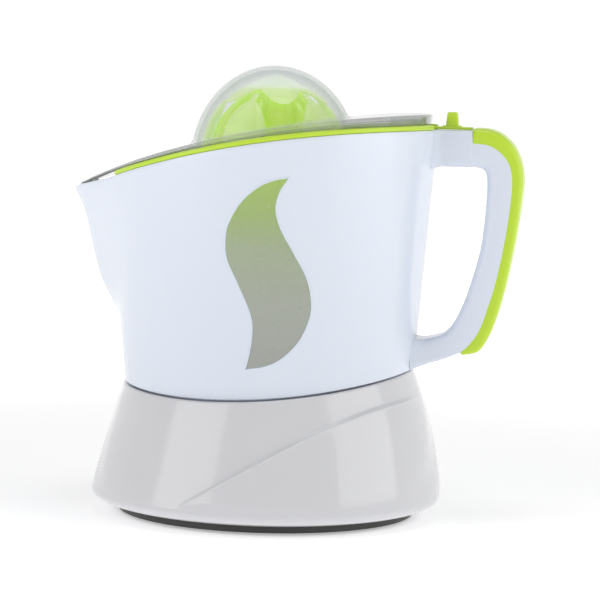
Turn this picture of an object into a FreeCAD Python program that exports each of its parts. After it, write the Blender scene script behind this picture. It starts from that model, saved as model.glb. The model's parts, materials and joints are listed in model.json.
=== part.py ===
import FreeCAD, Part
import math
import os
import Sketcher
from FreeCAD import Placement, Rotation, Vector

# An electric citrus press: a drive base, a pouring jug around the drive tower, a strainer in
# the jug's mouth, two cones and a clear domed cover.  Millimetres, +Z up.  The origin is on
# the table under the drive axis; the spout points to -X and the handle to +X.

DIMENSIONS = {
    # drive base
    "base_radius": 89.5, "widest_height": 11, "skirt_radius": 77, "skirt_height": 4.7,
    "waist_radius": 83.3, "waist_height": 41, "base_wall": 2.5,
    "deck_height": 58, "deck_thickness": 2.5,
    "seam_radius": 73.4, "seam_height": 71, "seam_tilt": 4, "seam_curve": 480, "seam_gap": 0.35,
    "rim_top": 84, "fit_gap": 0.3,
    "tower_radius": 17, "tower_tip_radius": 15.5, "tower_wall": 2.5, "tower_height": 150,
    "plate_radius": 75.5, "plate_bottom": 1.2, "plate_top": 4.6,
    "foot_radius": 7, "foot_ring": 62, "foot_stem_radius": 2.5,
    "pillar_ring": 65.5, "pillar_radius": 4.5, "pillar_angle": 62, "screw_radius": 1.5,
    "grommet_height": 16, "grommet_radius": 6, "cable_hole_radius": 3.2,
    # drive
    "shaft_radius": 3.9, "running_gap": 0.05, "spindle_top": 192, "spindle_bottom": 24.4,
    "drive_flat": 3.4, "drive_start": 152,
    "gear_floor": 34, "gear_floor_thickness": 2.5, "gear_lid": 53, "gear_lid_thickness": 2.2,
    "final_module": 1.0, "final_teeth": 66, "idler_pinion_teeth": 12,
    "first_module": 0.8, "first_teeth": 66, "motor_teeth": 11, "motor_side": 64.7,
    "gear_width": 5.5, "backlash": 0.3,
    "motor_radius": 21.5, "motor_bore": 13.2, "motor_height": 20, "motor_bottom": 12.5,
    "motor_shaft_radius": 2.5, "rotor_gap": 0.5,
    "bush_radius": 6.5, "bush_length": 11, "seal_height": 3,
    "plunger_radius": 8, "plunger_bottom": 22, "plunger_top": 31.5, "stem_radius": 3,
    "guide_radius": 5.4, "guide_top": 16, "spring_wire": 1.1, "spring_turns": 10,
    # jug
    "jug_low_radius": 73.6, "jug_low_height": 70, "jug_mouth_radius": 85.5, "mouth_height": 196,
    "mouth_shift": 2.7, "jug_wall": 2.4, "jug_foot_radius": 70.2, "jug_floor": 61,
    "foot_inside_top": 79, "tunnel_radius": 17.9, "tunnel_wall": 2.1, "tunnel_top": 154,
    "spout_start": 98, "spout_reach": 18.5, "spout_tip_radius": 14,
    "rim_curve": 502.9, "rim_spout_height": 158.4, "rim_handle_height": 198.1,
    "handle_width": 24, "handle_reach": 127.4, "handle_top": 199.6, "handle_bottom": 85,
    "grip_thickness": 6.6, "grip_start": 97.8, "lever_step": 1.8,
    "window_top": 175, "window_bottom": 81, "window_gap": 0.3,
    # strainer, lever and cones
    "lime_rim": 2.3, "bowl_radius": 78.6, "bowl_floor_radius": 64, "bowl_wall": 1.8,
    "bowl_floor": 143, "collar_radius": 22.6, "collar_wall": 1.8, "collar_top": 157.5,
    "sieve_inner": 28, "sieve_outer": 58, "slot_width": 2.6, "slot_count": 24,
    "ring_thickness": 1.6, "lever_width": 7, "lever_ring": 90.2, "post_height": 207.2,
    "cone_skirt_radius": 43, "cone_skirt_height": 161, "small_cone_top": 218.5,
    "small_cone_radius": 35.5, "rib_count": 10, "hub_radius": 7,
    "large_cone_top": 223.8, "large_cone_radius": 38.4, "petal_count": 5, "petal_gap_angle": -2,
    # cover
    "cover_curve": 514, "cover_spout_height": 161.9, "cover_handle_height": 206.3,
    "cover_inset": 3.6, "cover_wall": 2, "cover_gap": 0.3,
    "dome_radius": 42.5, "dome_height": 48.2, "dome_centre": 180,
}

doc = FreeCAD.newDocument("citrus_press")
sheet = doc.addObject("Spreadsheet::Sheet", "dims")
for row, (alias, amount) in enumerate(DIMENSIONS.items(), start=1):
    sheet.set(f"A{row}", alias)
    sheet.set(f"B{row}", str(amount))
    sheet.setAlias(f"B{row}", alias)
doc.recompute()


class Size:
    """A length from the sheet: its value now, and the expression that keeps it."""

    def __init__(self, value, text):
        self.value = value
        self.text = text

    def __add__(self, other):
        return Size(self.value + number(other), f"({self.text} + {words(other)})")

    def __sub__(self, other):
        return Size(self.value - number(other), f"({self.text} - {words(other)})")

    def __rsub__(self, other):
        return Size(number(other) - self.value, f"({words(other)} - {self.text})")

    def __mul__(self, other):
        return Size(self.value * number(other), f"({self.text} * {words(other)})")

    def __truediv__(self, other):
        return Size(self.value / number(other), f"({self.text} / {words(other)})")

    def __neg__(self):
        return Size(-self.value, f"(0 - {self.text})")

    __radd__ = __add__
    __rmul__ = __mul__


def number(amount):
    return amount.value if isinstance(amount, Size) else float(amount)


def words(amount):
    return amount.text if isinstance(amount, Size) else f"({float(amount):.9f})"


def size(alias):
    return Size(float(sheet.get(alias)), f"dims.{alias}")


class Sizes:
    def __getattr__(self, alias):
        return size(alias)


d = Sizes()


# ---------------------------------------------------------------- building blocks

def bind(item, name, amount):
    setattr(item, name, number(amount))
    if isinstance(amount, Size):
        item.setExpression(name, amount.text)


def place(item, x=0, y=0, z=0, rotation=None):
    item.Placement = Placement(Vector(number(x), number(y), number(z)), rotation or Rotation())
    for axis, amount in zip("xyz", (x, y, z)):
        if isinstance(amount, Size):
            item.setExpression(f"Placement.Base.{axis}", amount.text)
    return item


def add(kind, label):
    item = doc.addObject(kind, label)
    item.Label = label
    return item


def cylinder(label, radius, low, high, x=0, y=0):
    item = add("Part::Cylinder", label)
    bind(item, "Radius", radius)
    bind(item, "Height", high - low)
    return place(item, x, y, low)


def taper(label, low_radius, high_radius, low, high):
    item = add("Part::Cone", label)
    bind(item, "Radius1", low_radius)
    bind(item, "Radius2", high_radius)
    bind(item, "Height", high - low)
    return place(item, 0, 0, low)


def box(label, length, width, low, high, x=0, y=0, turn=0):
    """A box centred on x, y; turned about its own upright axis."""
    item = add("Part::Box", label)
    bind(item, "Length", length)
    bind(item, "Width", width)
    bind(item, "Height", high - low)
    rotation = Rotation(Vector(0, 0, 1), turn)
    corner = rotation.multVec(Vector(number(length) / -2, number(width) / -2, 0))
    if turn:
        return place(item, x + corner.x, y + corner.y, low, rotation)
    return place(item, x - length / 2, y - width / 2, low)


def join(label, pieces):
    item = add("Part::MultiFuse", label)
    item.Shapes = pieces
    return item


def common(label, pieces):
    item = add("Part::MultiCommon", label)
    item.Shapes = pieces
    return item


def cut(label, base, *tools):
    item = add("Part::Cut", label)
    item.Base = base
    item.Tool = tools[0] if len(tools) == 1 else join(f"{label}_cuts", list(tools))
    return item


def tube(label, outer, inner, low, high, x=0, y=0):
    body = cylinder(f"{label}_body", outer, low, high, x, y)
    return cut(label, body, cylinder(f"{label}_bore", inner, low - 1, high + 1, x, y))


def solid(label, shape):
    """A piece whose curved shape has no primitive; its sizes are read from the sheet."""
    item = add("Part::Feature", label)
    item.Shape = shape
    return item


def ring_of(label, count, radius, start, make):
    """Pieces made by make(label, x, y, angle), evenly round the drive axis."""
    pieces = []
    for index in range(count):
        angle = start + 360 * index / count
        x = radius * math.cos(math.radians(angle))
        y = radius * math.sin(math.radians(angle))
        pieces.append(make(f"{label}_{index}", x, y, angle))
    return pieces


def outline_sketch(body, name, outline, plane="XZ_Plane"):
    """A closed sketch; each point is (across, up) or (across, up, bulge radius of the
    stretch that follows it), bound to the sheet."""
    sketch = body.newObject("Sketcher::SketchObject", name)
    support = next(item for item in body.Origin.OriginFeatures if item.Role == plane)
    sketch.AttachmentSupport = [(support, "")]
    sketch.MapMode = "FlatFace"
    spots = [Vector(number(point[0]), number(point[1]), 0) for point in outline]
    starts = []
    for index, spot in enumerate(spots):
        after = spots[(index + 1) % len(spots)]
        bulge = outline[index][2] if len(outline[index]) > 2 else None
        if bulge is None:
            sketch.addGeometry(Part.LineSegment(spot, after), False)
            starts.append((1, 2))
            continue
        radius = abs(number(bulge))
        chord = after - spot
        left = Vector(-chord.y, chord.x, 0).normalize()
        side = 1 if number(bulge) > 0 else -1
        reach = math.sqrt(radius ** 2 - (chord.Length / 2) ** 2)
        centre = (spot + after) * 0.5 + left * reach * side
        first, last = (spot, after) if side > 0 else (after, spot)
        angles = [math.atan2(p.y - centre.y, p.x - centre.x) for p in (first, last)]
        circle = Part.Circle(centre, Vector(0, 0, 1), radius)
        sketch.addGeometry(Part.ArcOfCircle(circle, angles[0], angles[1]), False)
        starts.append((1, 2) if side > 0 else (2, 1))
    total = len(spots)
    for index in range(total):
        after = (index + 1) % total
        sketch.addConstraint(
            Sketcher.Constraint("Coincident", index, starts[index][1], after, starts[after][0]))
    for index, point in enumerate(outline):
        for kind, amount in (("DistanceX", point[0]), ("DistanceY", point[1])):
            rule = Sketcher.Constraint(kind, -1, 1, index, starts[index][0], number(amount))
            place_in_list = sketch.addConstraint(rule)
            if isinstance(amount, Size):
                sketch.setExpression(f"Constraints[{place_in_list}]", amount.text)
        if len(point) > 2 and point[2] is not None:
            bulge = point[2] if number(point[2]) > 0 else -point[2]
            rule = Sketcher.Constraint("Radius", index, number(bulge))
            place_in_list = sketch.addConstraint(rule)
            if isinstance(bulge, Size):
                sketch.setExpression(f"Constraints[{place_in_list}]", bulge.text)
    return sketch


def turned(label, outline, angle=360):
    """A body turned about the drive axis from an outline of (radius, height) points."""
    body = add("PartDesign::Body", label)
    sketch = outline_sketch(body, f"{label}_outline", outline)
    turn = body.newObject("PartDesign::Revolution", f"{label}_turn")
    turn.Profile = sketch
    turn.ReferenceAxis = (sketch, ["V_Axis"])
    turn.Angle = angle
    turn.Midplane = angle < 360
    return body


def slab(label, outline, width):
    """A body with a side outline of (x, z) points, as wide in Y on both sides."""
    body = add("PartDesign::Body", label)
    sketch = outline_sketch(body, f"{label}_outline", outline)
    pad = body.newObject("PartDesign::Pad", f"{label}_pad")
    pad.Profile = sketch
    bind(pad, "Length", width)
    pad.Midplane = True
    return body


def round_loft(label, circles):
    """A loft of circles, each (radius, x, height, tilt about Y)."""
    rings = []
    for index, (radius, x, height, tilt) in enumerate(circles):
        ring = add("Part::Circle", f"{label}_ring_{index}")
        bind(ring, "Radius", radius)
        place(ring, x, 0, height, Rotation(Vector(0, 1, 0), number(tilt)))
        rings.append(ring)
    loft = add("Part::Loft", label)
    loft.Sections = rings
    loft.Solid = True
    loft.Ruled = True
    return loft


def rounded_outline(corners):
    """A closed face in the XZ plane from (x, z, corner radius) points."""
    spots = [Vector(x, 0, z) for x, z, _ in corners]
    edges = []
    ends = []
    for index, (spot, corner) in enumerate(zip(spots, corners)):
        before = spots[index - 1] - spot
        after = spots[(index + 1) % len(spots)] - spot
        radius = corner[2]
        if radius == 0:
            ends.append((spot, spot))
            continue
        half = before.getAngle(after) / 2
        reach = radius / math.tan(half)
        reach = min(reach, before.Length * 0.49, after.Length * 0.49)
        start = spot + before.normalize() * reach
        finish = spot + after.normalize() * reach
        middle = (before + after).normalize()
        sweep = reach * math.tan(half)
        centre = spot + middle * (sweep / math.sin(half))
        top = centre - middle * sweep
        edges.append(Part.Arc(start, top, finish).toShape())
        ends.append((start, finish))
    for index, (_, finish) in enumerate(ends):
        start = ends[(index + 1) % len(ends)][0]
        if (finish - start).Length > 1e-6:
            edges.append(Part.makeLine(finish, start))
    return Part.Face(Part.Wire(Part.__sortEdges__(edges)))


def plank(face, width):
    """The face, made as thick as width on both sides of the XZ plane."""
    moved = face.copy()
    moved.translate(Vector(0, -width / 2, 0))
    return moved.extrude(Vector(0, width, 0))


# ---------------------------------------------------------------- shared surfaces

def seam_block(label, raise_by):
    """Everything under the gently arched joint between base and jug."""
    block = add("Part::Cylinder", label)
    bind(block, "Radius", d.seam_curve + raise_by)
    block.Height = 400
    tilt = number(d.seam_tilt)
    block.Placement = Placement(Vector(), Rotation(Vector(0, 1, 0), 90 - tilt))
    low = number(d.seam_height) - number(d.seam_curve)
    along = Rotation(Vector(0, 1, 0), 90 - tilt).multVec(Vector(0, 0, 200))
    return place(block, -along.x, 0, low - along.z, Rotation(Vector(0, 1, 0), 90 - tilt))


def swept_band(label, curve, spout_height, handle_height, low, high):
    """A wide band between two copies of an arched line along X, moved by low and high."""
    left = -110
    right = 95
    bottom = [(left, spout_height + low, -curve), (right, handle_height + low)]
    if high is None:
        crown = [(right, 260), (left, 260)]
        return slab(label, bottom + crown, 240)
    crown = [(right, handle_height + high, curve), (left, spout_height + high)]
    return slab(label, bottom + crown, 240)


def over_rim(label, low, high):
    return swept_band(label, d.rim_curve, d.rim_spout_height, d.rim_handle_height, low, high)


def under_cover(label, low, high):
    return swept_band(label, d.cover_curve, d.cover_spout_height, d.cover_handle_height, low, high)


def jug_radius(height):
    rise = (number(d.jug_mouth_radius) - number(d.jug_low_radius))
    return number(d.jug_low_radius) + rise * jug_share(height)


def jug_share(height):
    span = number(d.mouth_height) - number(d.jug_low_height)
    return (height - number(d.jug_low_height)) / span


def jug_centre(height):
    return -number(d.mouth_shift) * jug_share(height)


def jug_form(inset, low, high):
    """The jug's outside, drawn in by inset: a leaning cone with a beak that grows towards
    the mouth.  Each beak section is the tip's circle with lines that touch the cone."""
    rings = []
    for height in (low, high):
        circle = Part.makeCircle(jug_radius(height) - inset, Vector(jug_centre(height), 0, height))
        rings.append(Part.Wire(circle))
    body = Part.makeLoft(rings, True, True)
    start = number(d.spout_start)
    full = number(d.rim_spout_height)
    sections = []
    for share in (0.0, 0.1, 0.25, 0.45, 0.7, 1.0, 1.3):
        height = start + (full - start) * share
        growth = 0.25 + 0.75 * math.sqrt(min(share, 1.0)) + 0.35 * max(share - 0.7, 0)
        reach = number(d.spout_reach) * growth - 4.5 * (1 - min(share, 1.0))
        sections.append(beak_section(height, reach, inset))
    beak = Part.makeLoft(sections, True, True)
    reach = Part.makeBox(400, 400, high - low, Vector(-200, -200, low))
    return body.fuse(beak.common(reach)).removeSplitter()


def beak_section(height, reach, inset):
    outer = jug_radius(height)
    tip = number(d.spout_tip_radius)
    centre = jug_centre(height)
    tip_centre = centre - (outer + reach - tip)
    lean = math.acos((outer - tip) / (outer + reach - tip))
    flank = Vector(-math.cos(lean), math.sin(lean), 0)
    here = Vector(tip_centre, 0, height)
    touch = Vector(centre, 0, height)
    corners = []
    for side in (1, -1):
        out = Vector(flank.x, flank.y * side, 0)
        corners.append((here + out * (tip - inset), touch + out * (outer - inset - 0.4)))
    point = here - Vector(tip - inset, 0, 0)
    edges = [
        Part.Arc(corners[0][0], point, corners[1][0]).toShape(),
        Part.makeLine(corners[1][0], corners[1][1]),
        Part.makeLine(corners[1][1], corners[0][1]),
        Part.makeLine(corners[0][1], corners[0][0]),
    ]
    return Part.Wire(edges)


# ---------------------------------------------------------------- drive base

def make_base():
    outer = round_loft("base_outside", [
        (d.skirt_radius, 0, d.skirt_height, 0),
        (d.base_radius, 0, d.widest_height, 0),
        (d.waist_radius, 0, d.waist_height, -2),
        (d.seam_radius, 0, d.seam_height, -d.seam_tilt),
        (d.seam_radius - 0.1, 0, d.rim_top, -d.seam_tilt)])
    inner = round_loft("base_inside", [
        (d.skirt_radius - d.base_wall, 0, d.skirt_height - 1, 0),
        (d.base_radius - d.base_wall, 0, d.widest_height, 0),
        (d.waist_radius - d.base_wall, 0, d.waist_height, -2),
        (d.jug_foot_radius + d.fit_gap, 0, d.deck_height, 0),
        (d.jug_foot_radius + d.fit_gap, 0, d.rim_top + 8, 0)])
    under_deck = d.deck_height - d.deck_thickness
    shell = cut("base_wall_ring", outer, inner)
    deck = cylinder("base_deck", d.jug_foot_radius + 1, under_deck, d.deck_height)
    tower = taper("tower_outside", d.tower_radius, d.tower_tip_radius, under_deck, d.tower_height)
    hollow = taper("tower_inside", d.tower_radius - d.tower_wall,
                   d.tower_tip_radius - d.tower_wall, under_deck - 1, d.tower_height - 3)
    boss_low = d.tower_height - d.bush_length - d.seal_height
    boss = cylinder("bush_boss", d.bush_radius + 2, boss_low, d.tower_height)
    bore = cylinder("bush_bore", d.bush_radius, boss_low - 1, d.tower_height + 1)
    webs = [box(f"boss_web_{index}", (d.tower_tip_radius - 1) * 2, 2, boss_low, d.tower_height,
                turn=90 * index) for index in range(2)]
    pillars = ring_of("pillar", 4, d.pillar_ring, number(d.pillar_angle),
                      lambda name, x, y, _: cylinder(name, d.pillar_radius, d.plate_top + d.fit_gap,
                                                     d.deck_height - 1, x, y))
    pilots = ring_of("pilot", 4, d.pillar_ring, number(d.pillar_angle),
                     lambda name, x, y, _: cylinder(name, d.screw_radius + d.running_gap,
                                                    d.plate_top, d.plate_top + 14, x, y))
    cable_hole = cylinder("cable_hole", d.grommet_radius - 1.5, 0, 30)
    place(cable_hole, 0, d.base_radius - 15, d.grommet_height, Rotation(Vector(1, 0, 0), -90))
    tower_shell = cut("tower_shell", join("tower_solid", [tower, boss]), hollow)
    whole = join("base_solid", [shell, deck, tower_shell, boss] + webs + pillars)
    trimmed = common("base_trimmed", [whole, join("base_reach", [
        seam_block("base_limit", 0), cylinder("tower_limit", d.tower_radius + 1, 50, d.tower_height)])])
    shaft_way = cylinder("shaft_way", d.bush_radius, under_deck - 1, boss_low)
    cut("base_housing", trimmed, bore, shaft_way, cable_hole, *pilots)


def make_base_plate():
    disc = cylinder("plate_disc", d.plate_radius, d.plate_bottom, d.plate_top)
    guide = cylinder("plunger_guide", d.guide_radius, d.plate_top - 1, d.guide_top)
    guide_bore = cylinder("guide_bore", d.stem_radius + d.running_gap, d.plate_bottom + 1.2,
                          d.guide_top + 1)
    stand = box("switch_stand", 20, 8, d.plate_top - 1, 8.4, x=-24)
    motor_stand = tube("motor_stand", 9, 4.5, d.plate_top - 1, d.motor_bottom - 3.8, *motor_place())
    heads = ring_of("head_pocket", 4, d.pillar_ring, number(d.pillar_angle),
                    lambda name, x, y, _: cylinder(name, 3.4, 0, d.plate_bottom + 2, x, y))
    ways = ring_of("screw_way", 4, d.pillar_ring, number(d.pillar_angle),
                   lambda name, x, y, _: cylinder(name, d.screw_radius + 0.2, 0, 8, x, y))
    stems = ring_of("stem_way", 4, d.foot_ring, 20,
                    lambda name, x, y, _: cylinder(name, d.foot_stem_radius + d.running_gap, 0, 8, x, y))
    vents = [box(f"plate_vent_{index}", 26, 2.2, 0, 8, x=-8, y=-36 - 5 * index) for index in range(4)]
    body = join("plate_solid", [disc, guide, stand, motor_stand])
    cut("base_plate", body, guide_bore, *heads, *ways, *stems, *vents)

    def foot(name, x, y, _):
        pad = cylinder(f"{name}_pad", d.foot_radius, 0 * d.foot_radius, d.plate_bottom, x, y)
        stem = cylinder(f"{name}_stem", d.foot_stem_radius, d.plate_bottom - 0.5, d.plate_top, x, y)
        return join(name, [pad, stem])

    join("rubber_feet", ring_of("foot", 4, d.foot_ring, 20, foot))

    def screw(name, x, y, _):
        head = cylinder(f"{name}_head", 3, d.plate_bottom + 0.2, d.plate_bottom + 1.95, x, y)
        shank = cylinder(f"{name}_shank", d.screw_radius, d.plate_bottom + 1, d.plate_top + 12, x, y)
        return join(name, [head, shank])

    join("base_screws", ring_of("base_screw", 4, d.pillar_ring, number(d.pillar_angle), screw))


def make_back_fittings():
    """The grommet round the cable's hole in the back wall, and the terminal block inside."""
    wall_outside = d.base_radius - (d.base_radius - d.waist_radius) * 0.17
    pieces = []
    for index, (radius, start, length) in enumerate((
            (d.grommet_radius + 1.5, wall_outside + 1.3, 1.8),
            (d.grommet_radius - 1.6, wall_outside - 6, 8),
            (d.grommet_radius, wall_outside - 6.4, 1.6))):
        ring = add("Part::Cylinder", f"grommet_ring_{index}")
        bind(ring, "Radius", radius)
        ring.Height = length
        place(ring, 0, start, d.grommet_height, Rotation(Vector(1, 0, 0), -90))
        pieces.append(ring)
    way = cylinder("grommet_way", d.cable_hole_radius, 0, 30)
    place(way, 0, wall_outside - 15, d.grommet_height, Rotation(Vector(1, 0, 0), -90))
    cut("cord_grommet", join("grommet_solid", pieces), way)
    block = box("terminal_body", 18, 12, d.plate_top + 0.1, 15, x=-22, y=52)
    holes = [cylinder(f"terminal_hole_{index}", 1.4, 8, 16, -27 + 5 * index, 52) for index in range(3)]
    cut("terminal_block", block, *holes)


def motor_place():
    """The motor's axis, reached from the idler's."""
    first = d.first_module * (d.first_teeth + d.motor_teeth) / 2
    side = math.radians(number(d.motor_side))
    return idler_distance() - first * math.cos(side), first * math.sin(side)


def idler_distance():
    return d.final_module * (d.final_teeth + d.idler_pinion_teeth) / 2


def gear_case(label, low, high, inset):
    motor_x, motor_y = motor_place()
    final_room = d.final_module * (d.final_teeth / 2 + 1) + 3 - inset
    first_room = d.first_module * (d.first_teeth / 2 + 1) + 3 - inset
    return join(label, [
        cylinder(f"{label}_final", final_room, low, high),
        cylinder(f"{label}_idler", first_room, low, high, idler_distance()),
        cylinder(f"{label}_motor", 9 - inset, low, high, motor_x, motor_y)])


def make_gearbox():
    floor_top = d.gear_floor + d.gear_floor_thickness
    motor_x, motor_y = motor_place()
    case = gear_case("gear_case", d.gear_floor, d.gear_lid, 0)
    room = gear_case("gear_room", floor_top, d.gear_lid + 1, 2)
    bush_hole = cylinder("lower_bush_hole", d.bush_radius + 0.02, 30, 40)
    motor_hole = cylinder("motor_shaft_hole", d.motor_shaft_radius + d.running_gap, 30, 40,
                          motor_x, motor_y)
    pin_seat = cylinder("pin_seat_low", 2.02, 30, 40, idler_distance())
    lugs = gearbox_screw_ring("lug", 3.6, d.gear_floor, d.gear_lid)
    ways = gearbox_screw_ring("lug_way", 1.6, d.gear_floor - 1, d.gear_lid + 1)
    walls = cut("gear_walls", case, room)
    cut("gearbox_frame", join("gear_frame_solid", [walls] + lugs), bush_hole, motor_hole, pin_seat,
        *ways)
    lid_top = d.gear_lid + d.gear_lid_thickness
    lid = join("gear_lid_solid", [gear_case("lid_case", d.gear_lid + 0.05, lid_top, 0)]
               + gearbox_screw_ring("lid_lug", 3.6, d.gear_lid + 0.05, lid_top))
    cut("gearbox_cover", lid, cylinder("lid_shaft_way", d.shaft_radius + 1.5, 50, 60),
        cylinder("pin_seat_high", 2.02, 50, 60, idler_distance()),
        *gearbox_screw_ring("lid_way", 1.6, 50, 60))
    screws = []
    heads = gearbox_screw_ring("gear_screw_head", 3, d.gear_floor - 1.8, d.gear_floor - 0.05)
    shanks = gearbox_screw_ring("gear_screw_shank", 1.5, d.gear_floor - 1, lid_top + 0.1)
    for index, pair in enumerate(zip(heads, shanks)):
        screws.append(join(f"gear_screw_{index}", list(pair)))
    join("gearbox_screws", screws)
    cylinder("idler_pin", 2, d.gear_floor, lid_top, idler_distance())
    cut("lower_bush", join("lower_bush_solid", [
        cylinder("lower_bush_body", d.bush_radius - 0.03, d.gear_floor, floor_top + 1),
        cylinder("lower_bush_flange", d.bush_radius + 1.5, floor_top + 0.05, floor_top + 1.2)]),
        cylinder("lower_bush_bore", d.shaft_radius + d.running_gap, 30, 40))


def gearbox_screw_ring(label, radius, low, high):
    """Three upright cylinders at the corners of the gear case."""
    case_radius = d.final_module * (d.final_teeth / 2 + 1) + 3 + 1.6
    spots = []
    for index, angle in enumerate((110, 180, 250)):
        x = case_radius * math.cos(math.radians(angle))
        y = case_radius * math.sin(math.radians(angle))
        spots.append(cylinder(f"{label}_{index}", radius, low, high, x, y))
    return spots


def gear_shape(module, teeth, bore, width, phase):
    """A spur gear with involute flanks, thinned by the backlash, with one bore."""
    pitch = module * teeth / 2
    base = pitch * math.cos(math.radians(20))
    outside = pitch + 0.92 * module
    root = pitch - 1.2 * module
    flank_turn = math.tan(math.radians(20)) - math.radians(20)
    half_tooth = math.pi / (2 * teeth) - number(d.backlash) / (4 * pitch)
    flank = []
    for step in range(4):
        radius = max(base, root + 0.05) + (outside - max(base, root + 0.05)) * step / 3
        reach = math.acos(min(1, base / radius))
        spread = half_tooth + flank_turn - (math.tan(reach) - reach)
        flank.append((radius, spread))
    foot = (root, flank[0][1] + 0.1 / pitch)
    half = [foot] + flank
    points = []
    for tooth in range(teeth):
        centre = math.radians(phase) + 2 * math.pi * tooth / teeth
        for radius, spread in half:
            points.append((radius, centre - spread))
        for radius, spread in reversed(half):
            points.append((radius, centre + spread))
    spots = [Vector(radius * math.cos(turn), radius * math.sin(turn), 0) for radius, turn in points]
    wire = Part.makePolygon(spots + [spots[0]])
    hole = Part.Wire(Part.makeCircle(bore))
    face = Part.makeFace([wire, hole], "Part::FaceMakerBullseye")
    return face.extrude(Vector(0, 0, width))


def gear(label, module, teeth, bore, low, width, phase, x=0, y=0):
    shape = gear_shape(number(module), int(number(teeth)), number(bore), number(width), phase)
    return place(solid(label, shape), x, y, low)


def make_drive():
    motor_x, motor_y = motor_place()
    floor_top = d.gear_floor + d.gear_floor_thickness
    pinion_bore = d.motor_shaft_radius
    first_low = floor_top + 1.4
    idler_turn = math.degrees(math.atan2(number(motor_y), number(motor_x) - number(idler_distance())))
    final_low = d.gear_lid - 2 - d.gear_width
    gear("motor_pinion", d.first_module, d.motor_teeth, pinion_bore + 0.02, first_low - 0.5,
         d.gear_width, idler_turn + 180 + 180 / number(d.motor_teeth), motor_x, motor_y)
    big = gear("idler_wheel", d.first_module, d.first_teeth, 2 + d.running_gap, first_low,
               d.gear_width - 1.5, idler_turn, idler_distance())
    small = gear("idler_pinion", d.final_module, d.idler_pinion_teeth, 2 + d.running_gap,
                 first_low + d.gear_width - 1.6, d.gear_lid - first_low - d.gear_width + 1.2,
                 180 / number(d.idler_pinion_teeth), idler_distance())
    join("idler_gear", [big, small])
    wheel = gear("output_wheel", d.final_module, d.final_teeth, d.shaft_radius + 0.02, final_low,
                 d.gear_width, 0)
    lightening = [cylinder(f"wheel_hole_{index}", 6, final_low + 1.5, final_low + 4,
                           20 * math.cos(math.radians(60 * index)),
                           20 * math.sin(math.radians(60 * index))) for index in range(6)]
    cut("output_gear", wheel, *lightening)
    shaft = cylinder("spindle_round", d.shaft_radius, d.spindle_bottom, d.spindle_top)
    flats = [box(f"drive_flat_{index}", 4, 12, d.drive_start, d.spindle_top + 1,
                 x=side * (d.drive_flat + 2)) for index, side in enumerate((1, -1))]
    cut("drive_spindle", shaft, *flats)
    bush_low = d.tower_height - d.bush_length - d.seal_height
    tube("upper_bush", d.bush_radius - 0.03, d.shaft_radius + d.running_gap, bush_low,
         d.tower_height - d.seal_height - 0.05)
    tube("shaft_seal", d.bush_radius - 0.03, d.shaft_radius + 0.03, d.tower_height - d.seal_height,
         d.tower_height)


def make_motor():
    x, y = motor_place()
    top = d.motor_bottom + d.motor_height
    block = cylinder("stator_block", d.motor_radius, d.motor_bottom, top, x, y)
    bore = cylinder("stator_bore", d.motor_bore, 0, 40, x, y)
    slots = [box(f"coil_slot_{index}", 3.4, 16, d.motor_bottom - 1, top + 1, x=x + side * 17, y=y)
             for index, side in enumerate((1, -1))]
    cut("motor_stator", block, bore, *slots)
    coils = [box(f"coil_{index}", 2.9, 15.4, d.motor_bottom - 1.8, top + 0.9, x=x + side * 17, y=y)
             for index, side in enumerate((1, -1))]
    join("motor_coils", coils)
    low = d.motor_bottom - 3.6
    bracket = join("bracket_solid", [
        cylinder("bracket_disc", d.motor_bore + 1, low, low + 1.6, x, y),
        *[cylinder(f"bracket_post_{index}", 1.5, low, d.motor_bottom - 0.1,
                   x, y + side * (d.motor_bore + 1.8)) for index, side in enumerate((1, -1))],
        box("bracket_bar", 3, (d.motor_bore + 3) * 2, low, low + 1.6, x=x, y=y)])
    cut("motor_bracket", bracket, cylinder("bracket_bore", d.motor_shaft_radius + d.running_gap,
                                           0, 30, x, y))
    tube("motor_rotor", d.motor_bore - d.rotor_gap, d.motor_shaft_radius + 0.02,
         d.motor_bottom + 0.3, top - 0.5, x, y)
    cylinder("motor_shaft", d.motor_shaft_radius, low - 0.2, 43.2, x, y)


def make_switch():
    cup = cylinder("plunger_cup", d.plunger_radius, d.plunger_bottom, d.plunger_top)
    stem = cylinder("plunger_stem", d.stem_radius, d.guide_top - 6, d.plunger_bottom + 0.5)
    arm = box("plunger_arm", 26, 6, d.plunger_bottom, d.plunger_bottom + 2.2, x=-18)
    seat = cylinder("plunger_seat", d.shaft_radius + d.running_gap, d.spindle_bottom - 0.05,
                    d.plunger_top + 1)
    cut("spring_plunger", join("plunger_solid", [cup, stem, arm]), seat)
    cut("microswitch_body", box("switch_case", 19.8, 6.4, 8.5, 18, x=-24),
        box("button_well", 4.2, 3.6, 15.5, 19, x=-24))
    box("switch_button", 3.6, 3, 16.8, 20.3, x=-24)
    wire = d.spring_wire / 2
    low = d.plate_top + wire + 0.1
    high = d.plunger_bottom - wire - 0.1
    turns = []
    count = int(number(d.spring_turns))
    for index in range(count):
        turn = add("Part::Torus", f"spring_turn_{index}")
        bind(turn, "Radius1", d.guide_radius + 1.2)
        bind(turn, "Radius2", wire)
        place(turn, 0, 0, low + (high - low) * index / (count - 1))
        turns.append(turn)
    stack = add("Part::Compound", "return_spring")
    stack.Links = turns


# ---------------------------------------------------------------- jug

def handle_corners(inset):
    """The handle's outer line, drawn in by inset."""
    reach = number(d.handle_reach) - inset
    top = number(d.handle_top) - inset
    low = number(d.handle_bottom) + inset * 0.6
    return [(60, top, 0), (reach + 0.6, top, 15), (reach - 1.1, 160, 180),
            (reach - 8.5, 112, 150), (109.5 - inset * 0.8, low - 0.5, 9), (97, low - 1.2, 18),
            (60, 73.5 + inset, 0)]


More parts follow.
